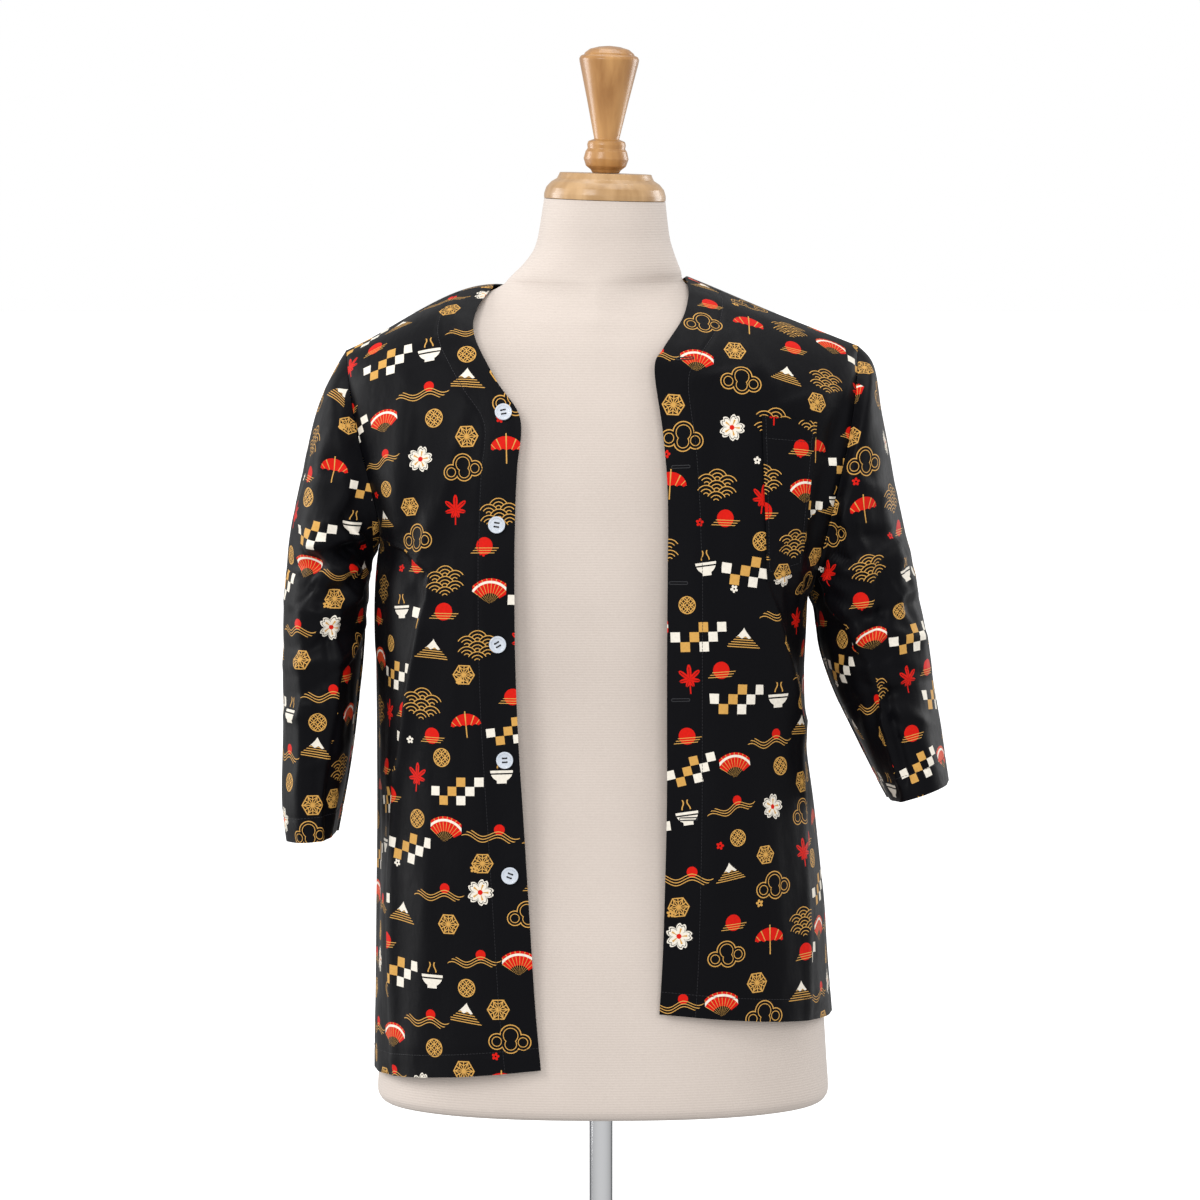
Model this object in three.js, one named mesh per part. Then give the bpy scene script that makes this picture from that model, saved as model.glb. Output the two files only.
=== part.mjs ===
// A collarless chef shirt with three-quarter sleeves, worn open on a dress form with a wooden cap,
// a steel pole and a round foot. Millimetres, +Z up. The origin is on the floor under the pole,
// +X is the wearer's left and -Y is the front.
import * as THREE from 'three';

// ---------------------------------------------------------------- driving dimensions

const WALL = 1.5; // thickness of the cloth
const SEAM_GAP = 0.3; // play between two pieces sewn together
const ARMHOLE_GAP = 0.45; // the same, measured sideways at the slanting armhole
const PANEL_COLUMNS = 11; // facets across one quarter of the body
const STEPS = 2; // facets from one row of a body table to the next
const SLEEVE_STEPS = 2; // and of a sleeve table
const POCKET_WALL = 1.2;
const POCKET_LIFT = 0.95;
const POCKET_ROWS = 12;
const POCKET_COLUMNS = 7;
const BUTTON_RADIUS = 7.5;
const BUTTON_THICKNESS = 2.6;
const BUTTON_SIDES = 18;
const BUTTON_HOLE_PLACE = 1.7; // from the middle of the button, both ways
const BUTTON_HOLE_RADIUS = 0.9;
const BUTTON_HOLE_SIDES = 6;
const BUTTON_LIFT = 0.5;
const CAP_CENTRE_X = 3.4;
const CAP_BOTTOM_Z = 1507.6;
const CAP_LEAN = 1.8 * Math.PI / 180; // the cap and the knob lean a little to the wearer's left
const POLE_RADIUS = 10.5;
const BASE_RADIUS = 175;
const BASE_THICKNESS = 12;
const FORM_BOTTOM_Z = 694.5;
const FORM_SIDES = 32;

// The middle of each button, on the wearer's right front.
const BUTTON_PLACES = [
  { x: -85.7, z: 1323 },
  { x: -91.4, z: 1225 },
  { x: -91, z: 1120 },
  { x: -84.4, z: 1018 },
  { x: -80, z: 916 },
];

// The corners of the chest pocket, on the wearer's left front.
const POCKET = {
  mouth: { innerX: 141, innerZ: 1320, outerX: 190, outerZ: 1313 },
  foot: { innerX: 146, innerZ: 1174, outerX: 176, outerZ: 1182 },
};

// Profiles of the turned pieces, as [radius, height] from the foot to the top.
const CAP_PROFILE = [
  [0, 0], [54.5, 0], [54.5, 4.5], [52.8, 10], [48.5, 15], [43.5, 18], [42, 21], [41, 23.5], [0, 23.5],
];
const FINIAL_PROFILE = [
  [0, 23.8], [12, 23.8], [13.5, 26.5], [18, 30], [20.2, 36.5], [18.6, 43], [16.8, 45.5],
  [17.4, 49], [16.4, 52], [11.2, 54], [18.8, 89], [26.4, 122.5], [26.8, 125.5], [25.4, 128],
  [22.6, 129], [22, 130.6], [17.5, 134.2], [9.5, 136.4], [0, 137.2],
];
const BASE_PROFILE = [
  [0, 0], [BASE_RADIUS - 2, 0], [BASE_RADIUS, 2], [BASE_RADIUS, 8], [BASE_RADIUS - 6, BASE_THICKNESS],
  [0, BASE_THICKNESS],
];

// ---------------------------------------------------------------- the tables of the shirt

// One row for each level of a body quarter, from the hem up. The side columns follow the side seam
// and then the armhole, where the front and the back part. The front columns follow the front edge
// and then the neckline. The back columns follow the middle of the back and then its neckline.
// turn is how far the cloth turns sideways along the row, in degrees, rise lifts the row near its
// inner end, and power is how square it is.
const BODY_COLUMNS = [
  'sideX', 'sideZ', 'frontCut', 'backCut',
  'frontX', 'frontY', 'frontZ', 'backX', 'backY', 'backZ', 'turn', 'rise', 'power',
];

const RIGHT_BODY = [
  [-205, 727, 0, 0, -53, -141, 743, 0, 136, 746, 90, 0, 2.3], // hem
  [-204, 790, 0, 0, -58, -141, 799, 0, 137, 808, 90, 0, 2.3],
  [-203, 875, 0, 0, -63, -140, 879, 0, 135, 884, 90, 0, 2.35],
  [-202, 955, 0, 0, -68, -138, 960, 0, 130, 960, 90, 0, 2.45],
  [-202, 1035, 0, 0, -73, -136, 1040, 0, 126, 1040, 90, 0, 2.6], // waist
  [-202.5, 1108, 0, 0, -75.5, -135, 1112, 0, 124, 1115, 90, 0, 2.75],
  [-202, 1162, 0, 0, -76, -134.5, 1166, 0, 123.5, 1172, 90, 0, 2.9],
  [-200, 1193, 0, 0, -76, -133.5, 1200, 0, 122.5, 1222, 88, 0, 2.9], // underarm
  [-197.5, 1204, -40, 38, -75.5, -132, 1222, 0, 121, 1265, 82, 0, 2.75],
  [-198, 1226, -68, 62, -75, -130, 1245, 0, 117.5, 1318, 75, 0, 2.5],
  [-204, 1255, -77, 73, -73.5, -127, 1275, 0, 108, 1372, 67, 0, 2.35],
  [-213, 1290, -72, 70, -71, -119, 1318, 0, 91, 1423, 61, 2, 2.25], // foot of the neckline
  [-220, 1320, -58, 58, -92, -104, 1350, -38, 86, 1425, 62, 4, 2.2],
  [-225, 1350, -36, 37, -112, -76, 1389, -74, 64, 1429, 70, 7, 2.1],
  [-227.5, 1367, -14, 15, -110, -46, 1412, -95, 36, 1431, 80, 9, 2],
  [-228, 1373, -0.15, 0.15, -97, -0.15, 1430, -97, 0.15, 1430, 90, 9, 2], // shoulder seam
];

const LEFT_BODY = [
  [209, 777, 0, 0, 51.5, -141, 793, 0, 136, 746, 90, 0, 2.3], // hem
  [205, 825, 0, 0, 54.5, -141, 845, 0, 137, 808, 90, 0, 2.3],
  [201, 880, 0, 0, 56.5, -140, 910, 0, 135, 884, 90, 0, 2.35],
  [193, 945, 0, 0, 58, -138, 980, 0, 130, 960, 90, 0, 2.45],
  [182.5, 1020, 0, 0, 58, -136, 1050, 0, 126, 1040, 90, 0, 2.6], // waist
  [182.5, 1080, 0, 0, 58, -135, 1110, 0, 124, 1115, 90, 0, 2.75],
  [184, 1124, 0, 0, 58.3, -134.5, 1155, 0, 123.5, 1172, 90, 0, 2.9],
  [186, 1151, 0, 0, 58.6, -133.5, 1190, 0, 122.5, 1222, 88, 0, 2.9], // underarm
  [189.5, 1163, -40, 38, 58.8, -132, 1222, 0, 121, 1265, 82, 0, 2.75],
  [195, 1192, -68, 62, 58, -130, 1262, 0, 117.5, 1318, 75, 0, 2.5],
  [206, 1238, -77, 73, 54, -126, 1308, 0, 108, 1372, 67, 0, 2.35],
  [217, 1285, -73, 70, 47, -116, 1361, 0, 91, 1423, 61, 2, 2.25], // foot of the neckline
  [224, 1322, -58, 58, 55, -104, 1379, 38, 86, 1427, 62, 2, 2.2],
  [228, 1352, -36, 37, 72, -74, 1404, 68, 62, 1433, 70, 2, 2.1],
  [229.5, 1370, -14, 15, 78, -43, 1425, 77, 34, 1438, 80, 1, 2],
  [230, 1377, -0.15, 0.15, 76, -0.15, 1438, 76, 0.15, 1438, 90, 0, 2], // shoulder seam
];

const UNDERARM_ROW = 7;
const NECKLINE_ROW = 11; // where the back neckline starts, at the middle of the back

// One row for each ring of a sleeve, from just below the armhole to the cuff: the outermost and the
// innermost point of the ring, half its depth, how far forward its middle lies, and its squareness.
const SLEEVE_COLUMNS = ['outerX', 'outerZ', 'innerX', 'innerZ', 'depth', 'forward', 'power'];

const RIGHT_SLEEVE = [
  [-243, 1348, -204.5, 1184, 82, 0, 2.1],
  [-258, 1312, -207, 1173, 83, 0, 2.1],
  [-270, 1258, -209, 1160, 81, 1, 2.1],
  [-280, 1206, -210, 1142, 78, 2, 2.1],
  [-285, 1150, -212, 1112, 75, 4, 2.2],
  [-286, 1085, -216, 1070, 72, 6, 2.2],
  [-286.5, 1020, -223, 1012, 69, 8, 2.2],
  [-287, 970, -231, 966, 67, 9, 2.2],
  [-284, 935, -236, 940, 66, 10, 2.2], // cuff
];

const LEFT_SLEEVE = [
  [245, 1359, 190, 1143, 82, 0, 2.1],
  [253, 1314, 191.5, 1135, 83, 0, 2.1],
  [263, 1256, 193, 1122, 81, 1, 2.1],
  [274, 1209, 196.5, 1102, 78, 3, 2.1],
  [285, 1158, 204.5, 1078, 75, 6, 2.2],
  [294, 1110, 215, 1053, 72, 9, 2.2],
  [302, 1058, 229, 1025, 69, 12, 2.2],
  [308, 1022, 243, 997, 67, 14, 2.2],
  [313, 989, 257, 970, 66, 16, 2.2], // cuff
];

// Soft folds: a ridge (height above 0) or a trough along a line between two places of a piece,
// given by their x and z. half is the half width of the fold.
const FOLD_COLUMNS = ['fromX', 'fromZ', 'toX', 'toZ', 'half', 'height'];

const RIGHT_FRONT_FOLDS = [
  [-150, 1165, -184, 1000, 16, 4],
  [-184, 1000, -187, 745, 13, 4],
];

const LEFT_FRONT_FOLDS = [
  [204, 1300, 186, 1200, 12, -5],
  [150, 1140, 178, 1040, 16, 5],
  [178, 1040, 190, 800, 15, 4],
];

const BACK_FOLDS = [
  [-150, 1290, -165, 860, 20, 4],
  [-60, 1330, -75, 800, 24, 4],
  [70, 1330, 90, 820, 24, 4],
  [150, 1270, 170, 860, 20, 4],
];

const RIGHT_SLEEVE_FOLDS = [
  [-215, 1200, -272, 1180, 13, -6],
  [-218, 1150, -268, 1225, 11, 4],
  [-222, 1125, -276, 1110, 14, -4],
];

const LEFT_SLEEVE_FOLDS = [
  [212, 1130, 278, 1150, 13, -6],
  [222, 1090, 282, 1175, 12, 4],
  [232, 1060, 290, 1080, 14, -4],
];

// ---------------------------------------------------------------- the table of the dress form

// One level a row, from the bottom up: its height, middle, half width, depth in front and behind,
// and how square its outline is.
const FORM_COLUMNS = ['z', 'middle', 'half', 'front', 'back', 'power'];

const FORM = [
  [FORM_BOTTOM_Z, 1.8, 190, 122, 118, 2.3],
  [696.5, 1.8, 198, 129, 125, 2.3],
  [700.5, 1.8, 202.5, 133, 128, 2.3],
  [708, 1.8, 204.5, 135, 130, 2.3],
  [733, 1.8, 203, 135, 130, 2.3],
  [800, 1, 199, 134, 129, 2.3],
  [880, 0, 190, 127, 120, 2.3],
  [960, -2, 176, 116, 106, 2.3],
  [1040, -4, 170, 110, 100, 2.3],
  [1120, -6, 173, 115, 104, 2.3],
  [1190, -6, 178, 121, 110, 2.3],
  [1260, -5, 184, 121, 112, 2.2],
  [1315, -4, 191, 113, 107, 2],
  [1350, -3, 197, 104, 101, 1.75],
  [1376, -3, 197, 98, 97, 1.55],
  [1391.2, -3, 186, 93, 94, 1.4],
  [1402.6, -3, 162.5, 89, 92, 1.31],
  [1412, -3, 135, 83, 88, 1.27],
  [1424, -4.2, 99.5, 77, 82, 1.3],
  [1432, -5.2, 83, 73, 78, 1.45],
  [1437, -5, 78.5, 71, 75, 1.6],
  [1443, -2.5, 75, 68, 71, 1.8],
  [1451, 0, 69.5, 65, 67, 1.95],
  [1462, 2, 63.5, 62, 62, 2],
  [1473, 2.4, 60, 59.5, 59.5, 2],
  [1488.5, 2.8, 57.5, 57.5, 57.5, 2],
  [1507.2, 3.4, 55, 54, 54, 2],
];
// ---------------------------------------------------------------- small helpers

const named = (columns, row) => Object.fromEntries(columns.map((name, i) => [name, row[i]]));

// A smooth curve through four neighbouring values.
function between(a, b, c, d, t) {
  const bend = 2 * a - 5 * b + 4 * c - d;
  const twist = 3 * b - a - 3 * c + d;
  return 0.5 * (2 * b + (c - a) * t + bend * t * t + twist * t * t * t);
}

// Rows of a table, with steps - 1 smooth rows put in between each two.
function smoothRows(rows, steps) {
  const result = [];
  const last = rows.length - 1;
  for (let i = 0; i < last; i += 1) {
    for (let k = 0; k < steps; k += 1) {
      const [before, here, next, after] = [Math.max(i - 1, 0), i, i + 1, Math.min(i + 2, last)];
      result.push(here === last ? rows[here] : rows[here].map((value, column) => between(
        rows[before][column], value, rows[next][column], rows[after][column], k / steps)));
    }
  }
  result.push(rows[last]);
  return result;
}

const power = (value, exponent) => Math.sign(value) * Math.abs(value) ** exponent;

function distanceToLine(x, z, fold) {
  const [dx, dz] = [fold.toX - fold.fromX, fold.toZ - fold.fromZ];
  const along = ((x - fold.fromX) * dx + (z - fold.fromZ) * dz) / (dx * dx + dz * dz);
  const t = Math.min(Math.max(along, 0), 1);
  return Math.hypot(x - fold.fromX - t * dx, z - fold.fromZ - t * dz);
}

// ---------------------------------------------------------------- cloth surfaces

// A surface is a list of points and of four-cornered faces, its outer side seen anticlockwise.
function normalsOf(surface) {
  const normals = surface.points.map(() => new THREE.Vector3());
  const [one, two, cross] = [new THREE.Vector3(), new THREE.Vector3(), new THREE.Vector3()];
  for (const face of surface.faces) {
    const [a, b, c, d] = face.map((i) => surface.points[i]);
    one.subVectors(c, a);
    two.subVectors(d, b);
    cross.crossVectors(one, two);
    for (const i of face) {
      normals[i].add(cross);
    }
  }
  return normals.map((normal) => normal.normalize());
}

function foldedSurface(surface, folds, isFolded) {
  const normals = normalsOf(surface);
  const rows = folds.map((row) => named(FOLD_COLUMNS, row));
  const points = surface.points.map((point, i) => {
    let lift = 0;
    for (const fold of rows) {
      const distance = distanceToLine(point.x, point.z, fold) / fold.half;
      lift += fold.height * Math.exp(-distance * distance);
    }
    return point.clone().addScaledVector(normals[i], lift * isFolded(point, i));
  });
  return { ...surface, points };
}

// The closed wall between a surface and its copy moved inwards. The cut faces round its edge are
// always split from the lower place, so that they fit the cut faces of the piece sewn to them.
function wallMesh(name, surface, normals, thickness, material) {
  const count = surface.points.length;
  const positions = [];
  for (const point of surface.points) {
    positions.push(point.x, point.y, point.z);
  }
  surface.points.forEach((point, i) => {
    const inner = point.clone().addScaledVector(normals[i], -thickness);
    positions.push(inner.x, inner.y, inner.z);
  });
  const triangles = [];
  const open = new Map();
  for (const [a, b, c, d] of surface.faces) {
    triangles.push(a, b, c, a, c, d);
    triangles.push(a + count, c + count, b + count, a + count, d + count, c + count);
    for (const [from, to] of [[a, b], [b, c], [c, d], [d, a]]) {
      if (!open.delete(`${to} ${from}`)) {
        open.set(`${from} ${to}`, [from, to]);
      }
    }
  }
  for (const [from, to] of open.values()) {
    if (surface.points[from].z < surface.points[to].z) {
      triangles.push(from, from + count, to + count, from, to + count, to);
    } else {
      triangles.push(from, from + count, to, to, from + count, to + count);
    }
  }
  const geometry = new THREE.BufferGeometry();
  geometry.setAttribute('position', new THREE.Float32BufferAttribute(positions, 3));
  geometry.setIndex(triangles);
  const mesh = new THREE.Mesh(geometry, material);
  mesh.name = name;
  return mesh;
}

// ---------------------------------------------------------------- the body of the shirt

// Points along one row, from the inner edge (the front edge or the middle of the back) to the side.
function rowPoints(row, part) {
  const level = named(BODY_COLUMNS, row);
  const [x, y, z] = part === 'front'
    ? [level.frontX, level.frontY, level.frontZ] : [level.backX, level.backY, level.backZ];
  const seam = SEAM_GAP / 2;
  const cut = part === 'front' ? Math.min(level.frontCut, -seam) : Math.max(level.backCut, seam);
  const squareness = 2 / level.power;
  const turn = THREE.MathUtils.degToRad(level.turn);
  const points = [];
  for (let column = 0; column <= PANEL_COLUMNS; column += 1) {
    const angle = turn * column / PANEL_COLUMNS;
    const sideways = power(Math.sin(angle), squareness) / power(Math.sin(turn), squareness);
    const low = power(Math.cos(turn), squareness);
    const deep = (power(Math.cos(angle), squareness) - low) / (1 - low);
    const hump = 6.75 * sideways * (1 - sideways) ** 2;
    points.push(new THREE.Vector3(
      x + (level.sideX - x) * sideways,
      cut + (y - cut) * deep,
      z + (level.sideZ - z) * sideways + level.rise * hump));
  }
  return points;
}

// One quarter of the body. flip turns the faces round, so that they look outwards on both sides.
function quarter(table, part, flip) {
  const rows = smoothRows(table, STEPS).map((row) => rowPoints(row, part));
  const width = PANEL_COLUMNS + 1;
  const faces = [];
  for (let r = 0; r < rows.length - 1; r += 1) {
    for (let c = 0; c < PANEL_COLUMNS; c += 1) {
      const corner = r * width + c;
      const face = [corner, corner + 1, corner + width + 1, corner + width];
      faces.push(flip ? face.reverse() : face);
    }
  }
  return { points: rows.flat(), faces, width, rows: rows.length };
}

// Two quarters joined along the middle of the back, below the neckline.
function joined(right, left, sharedRows) {
  const points = [...right.points];
  const place = left.points.map((point, i) => {
    const isShared = i % left.width === 0 && i / left.width <= sharedRows;
    if (isShared) {
      return i;
    }
    points.push(point);
    return points.length - 1;
  });
  const faces = [...right.faces, ...left.faces.map((face) => face.map((i) => place[i]))];
  return { points, faces, place };
}

// ---------------------------------------------------------------- sleeves

function sleeveSurface(ringPoints, table, side) {
  const lengths = [0];
  const count = ringPoints.length;
  for (let i = 1; i <= count; i += 1) {
    lengths.push(lengths[i - 1] + ringPoints[i % count].distanceTo(ringPoints[i - 1]));
  }
  const around = lengths.slice(0, count).map((length) => 2 * Math.PI * length / lengths[count]);
  const control = [ringPoints.flatMap((point) => [point.x, point.y, point.z])];
  for (const row of table) {
    const ring = named(SLEEVE_COLUMNS, row);
    const middleX = (ring.outerX + ring.innerX) / 2;
    const middleZ = (ring.outerZ + ring.innerZ) / 2;
    const squareness = 2 / ring.power;
    control.push(around.flatMap((angle) => {
      const outwards = power(Math.cos(angle), squareness);
      const forwards = power(Math.sin(angle), squareness);
      return [
        middleX + (ring.outerX - middleX) * outwards,
        -ring.forward - ring.depth * forwards,
        middleZ + (ring.outerZ - middleZ) * outwards,
      ];
    }));
  }
  const points = [];
  const rows = smoothRows(control, SLEEVE_STEPS);
  for (const row of rows) {
    for (let i = 0; i < count; i += 1) {
      points.push(new THREE.Vector3(row[3 * i], row[3 * i + 1], row[3 * i + 2]));
    }
  }
  const faces = [];
  for (let r = 0; r < rows.length - 1; r += 1) {
    for (let i = 0; i < count; i += 1) {
      const next = (i + 1) % count;
      const face = [r * count + i, r * count + next, (r + 1) * count + next, (r + 1) * count + i];
      faces.push(side > 0 ? face : face.reverse());
    }
  }
  return { points, faces, count };
}

// ---------------------------------------------------------------- materials

const cloth = new THREE.MeshStandardMaterial({ color: 0x17171b, roughness: 0.82, metalness: 0 });
const shell = new THREE.MeshStandardMaterial({ color: 0xe4e6ea, roughness: 0.3, metalness: 0 });
const jersey = new THREE.MeshStandardMaterial({ color: 0xe6ddd3, roughness: 0.9, metalness: 0 });
const maple = new THREE.MeshStandardMaterial({ color: 0xdcb17c, roughness: 0.45, metalness: 0 });
const chrome = new THREE.MeshStandardMaterial({ color: 0xd4d7da, roughness: 0.12, metalness: 1 });

const shirtOnForm = new THREE.Group();

// ---------------------------------------------------------------- fronts and back

const lastColumn = (surface, i) => i % surface.width === surface.width - 1;

function frontPanel(table, flip, folds) {
  const surface = quarter(table, 'front', flip);
  return foldedSurface(surface, folds, (point, i) => (lastColumn(surface, i) ? 0 : 1));
}

const frontRight = frontPanel(RIGHT_BODY, true, RIGHT_FRONT_FOLDS);
const frontLeft = frontPanel(LEFT_BODY, false, LEFT_FRONT_FOLDS);

const backRight = quarter(RIGHT_BODY, 'back', false);
const backLeft = quarter(LEFT_BODY, 'back', true);
const backPlain = joined(backRight, backLeft, NECKLINE_ROW * STEPS);
const sewnBackPoints = new Set();
backRight.points.forEach((point, i) => {
  if (lastColumn(backRight, i)) {
    sewnBackPoints.add(i);
    sewnBackPoints.add(backPlain.place[i]);
  }
});
const back = foldedSurface(backPlain, BACK_FOLDS, (point, i) => (sewnBackPoints.has(i) ? 0 : 1));

// ---------------------------------------------------------------- seams

// Along a seam all the pieces share the directions in which their walls get their thickness, so
// that their cut faces stay parallel and SEAM_GAP apart. Under the arm the sleeve is folded back
// against the body, and each keeps its own.
const FOLDED_BACK = 0.3;
const frontRightNormals = normalsOf(frontRight);
const frontLeftNormals = normalsOf(frontLeft);
const backNormals = normalsOf(back);

function share(places) {
  const sum = new THREE.Vector3();
  for (const [normals, i] of places) {
    sum.add(normals[i]);
  }
  sum.normalize();
  for (const [normals, i] of places) {
    normals[i] = sum;
  }
}

function sewBody(front, frontNormals, placeOnBack) {
  const { width, rows } = front;
  for (let r = 0; r < UNDERARM_ROW * STEPS; r += 1) {
    const side = r * width + width - 1;
    share([[frontNormals, side], [backNormals, placeOnBack(side)]]);
  }
  for (let c = 0; c < width - 1; c += 1) {
    const shoulder = (rows - 1) * width + c;
    share([[frontNormals, shoulder], [backNormals, placeOnBack(shoulder)]]);
  }
}

const placeFromRight = (i) => i;
const placeFromLeft = (i) => backPlain.place[i];
sewBody(frontRight, frontRightNormals, placeFromRight);
sewBody(frontLeft, frontLeftNormals, placeFromLeft);

function sewnSleeve(name, front, frontNormals, placeOnBack, table, folds, side) {
  const { width, rows } = front;
  const ring = [];
  for (let r = rows - 1; r >= UNDERARM_ROW * STEPS; r -= 1) {
    const i = r * width + width - 1;
    ring.push({ point: front.points[i], places: [[frontNormals, i]] });
  }
  for (let r = UNDERARM_ROW * STEPS + 1; r < rows - 1; r += 1) {
    const i = placeOnBack(r * width + width - 1);
    ring.push({ point: back.points[i], places: [[backNormals, i]] });
  }
  const tip = placeOnBack(rows * width - 1);
  const underarm = placeOnBack(UNDERARM_ROW * STEPS * width + width - 1);
  ring[0].places.push([backNormals, tip]);
  ring[rows - 1 - UNDERARM_ROW * STEPS].places.push([backNormals, underarm]);

  const away = new THREE.Vector3(side * ARMHOLE_GAP, 0, 0);
  const plain = sleeveSurface(ring.map(({ point }) => point.clone().add(away)), table, side);
  const surface = foldedSurface(plain, folds, (point, i) => (i < 2 * plain.count ? 0 : 1));
  const normals = normalsOf(surface);
  ring.forEach(({ places }, i) => {
    const [panelNormals, place] = places[0];
    const isFoldedBack = panelNormals[place].dot(normals[i]) < FOLDED_BACK;
    share(isFoldedBack ? places : [...places, [normals, i]]);
  });
  return wallMesh(name, surface, normals, WALL, cloth);
}

const sleeveRight = sewnSleeve(
  'sleeve_right', frontRight, frontRightNormals, placeFromRight,
  RIGHT_SLEEVE, RIGHT_SLEEVE_FOLDS, -1);
const sleeveLeft = sewnSleeve(
  'sleeve_left', frontLeft, frontLeftNormals, placeFromLeft,
  LEFT_SLEEVE, LEFT_SLEEVE_FOLDS, 1);

shirtOnForm.add(
  wallMesh('front_right', frontRight, frontRightNormals, WALL, cloth),
  wallMesh('front_left', frontLeft, frontLeftNormals, WALL, cloth),
  wallMesh('back', back, backNormals, WALL, cloth),
  sleeveRight,
  sleeveLeft);

// ---------------------------------------------------------------- what lies on a front

// The place on a front that shows at x and z when it is seen from straight ahead.
function onFront(surface, normals, x, z) {
  for (const [a, b, c, d] of surface.faces) {
    for (const corners of [[a, b, c], [a, c, d]]) {
      const [p, q, s] = corners.map((i) => surface.points[i]);
      const area = (q.x - p.x) * (s.z - p.z) - (s.x - p.x) * (q.z - p.z);
      const toQ = ((x - p.x) * (s.z - p.z) - (s.x - p.x) * (z - p.z)) / area;
      const toS = ((q.x - p.x) * (z - p.z) - (x - p.x) * (q.z - p.z)) / area;
      if (toQ >= 0 && toS >= 0 && toQ + toS <= 1) {
        const shares = [1 - toQ - toS, toQ, toS];
        const point = new THREE.Vector3();
        const normal = new THREE.Vector3();
        corners.forEach((i, k) => {
          point.addScaledVector(surface.points[i], shares[k]);
          normal.addScaledVector(normals[i], shares[k]);
        });
        return { point, normal: normal.normalize() };
      }
    }
  }
  throw new Error(`no cloth at x ${x}, z ${z}`);
}

function pocket() {
  const points = [];
  const faces = [];
  for (let r = 0; r <= POCKET_ROWS; r += 1) {
    for (let c = 0; c <= POCKET_COLUMNS; c += 1) {
      const [across, up] = [c / POCKET_COLUMNS, r / POCKET_ROWS];
      const [foot, mouth] = [POCKET.foot, POCKET.mouth];
      const x = THREE.MathUtils.lerp(
        THREE.MathUtils.lerp(foot.innerX, foot.outerX, across),
        THREE.MathUtils.lerp(mouth.innerX, mouth.outerX, across), up);
      const z = THREE.MathUtils.lerp(
        THREE.MathUtils.lerp(foot.innerZ, foot.outerZ, across),
        THREE.MathUtils.lerp(mouth.innerZ, mouth.outerZ, across), up);
      const { point, normal } = onFront(frontLeft, frontLeftNormals, x, z);
      points.push(point.addScaledVector(normal, POCKET_LIFT + POCKET_WALL));
    }
  }
  const width = POCKET_COLUMNS + 1;
  for (let r = 0; r < POCKET_ROWS; r += 1) {
    for (let c = 0; c < POCKET_COLUMNS; c += 1) {
      const corner = r * width + c;
      faces.push([corner, corner + 1, corner + width + 1, corner + width]);
    }
  }
  const surface = { points, faces };
  return wallMesh('pocket', surface, normalsOf(surface), POCKET_WALL, cloth);
}

shirtOnForm.add(pocket());

// A round button with four holes.
function circle(x, y, radius, sides) {
  return Array.from({ length: sides }, (unused, i) => {
    const angle = 2 * Math.PI * i / sides;
    return new THREE.Vector2(x + radius * Math.cos(angle), y + radius * Math.sin(angle));
  });
}

function buttonGeometry() {
  const disc = new THREE.Shape(circle(0, 0, BUTTON_RADIUS, BUTTON_SIDES));
  for (const [x, y] of [[1, 1], [-1, 1], [-1, -1], [1, -1]]) {
    const [holeX, holeY] = [x * BUTTON_HOLE_PLACE, y * BUTTON_HOLE_PLACE];
    disc.holes.push(new THREE.Path(circle(holeX, holeY, BUTTON_HOLE_RADIUS, BUTTON_HOLE_SIDES)));
  }
  return new THREE.ExtrudeGeometry(disc, { depth: BUTTON_THICKNESS, bevelEnabled: false });
}

BUTTON_PLACES.forEach(({ x, z }, i) => {
  const { point, normal } = onFront(frontRight, frontRightNormals, x, z);
  const button = new THREE.Mesh(buttonGeometry(), shell);
  button.name = `button_${i + 1}`;
  button.position.copy(point).addScaledVector(normal, BUTTON_LIFT);
  button.quaternion.setFromUnitVectors(new THREE.Vector3(0, 0, 1), normal);
  shirtOnForm.add(button);
});

// ---------------------------------------------------------------- the dress form

function formTorso() {
  const positions = [];
  const triangles = [];
  const top = FORM.length - 1;
  FORM.forEach((row, r) => {
    const level = named(FORM_COLUMNS, row);
    const lean = r === top ? Math.tan(CAP_LEAN) : 0;
    const squareness = 2 / level.power;
    for (let i = 0; i < FORM_SIDES; i += 1) {
      const angle = 2 * Math.PI * i / FORM_SIDES;
      const sideways = level.half * power(Math.cos(angle), squareness);
      const depth = Math.sin(angle) < 0 ? level.front : level.back;
      positions.push(
        level.middle + sideways,
        depth * power(Math.sin(angle), squareness),
        level.z - lean * sideways);
    }
  });
  for (let r = 0; r < top; r += 1) {
    for (let i = 0; i < FORM_SIDES; i += 1) {
      const next = (i + 1) % FORM_SIDES;
      const [a, b] = [r * FORM_SIDES + i, r * FORM_SIDES + next];
      triangles.push(a, b, b + FORM_SIDES, a, b + FORM_SIDES, a + FORM_SIDES);
    }
  }
  for (let i = 1; i < FORM_SIDES - 1; i += 1) {
    triangles.push(0, i + 1, i);
    triangles.push(top * FORM_SIDES, top * FORM_SIDES + i, top * FORM_SIDES + i + 1);
  }
  const geometry = new THREE.BufferGeometry();
  geometry.setAttribute('position', new THREE.Float32BufferAttribute(positions, 3));
  geometry.setIndex(triangles);
  const mesh = new THREE.Mesh(geometry, jersey);
  mesh.name = 'form_torso';
  return mesh;
}

// A turned piece. Its profile is a list of [radius, height], from the axis at the foot to the axis
// at the top.
function turned(name, profile, sides, material) {
  const geometry = new THREE.LatheGeometry(profile.map(([r, z]) => new THREE.Vector2(r, z)), sides);
  geometry.rotateX(Math.PI / 2);
  const mesh = new THREE.Mesh(geometry, material);
  mesh.name = name;
  return mesh;
}

shirtOnForm.add(formTorso());

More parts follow.
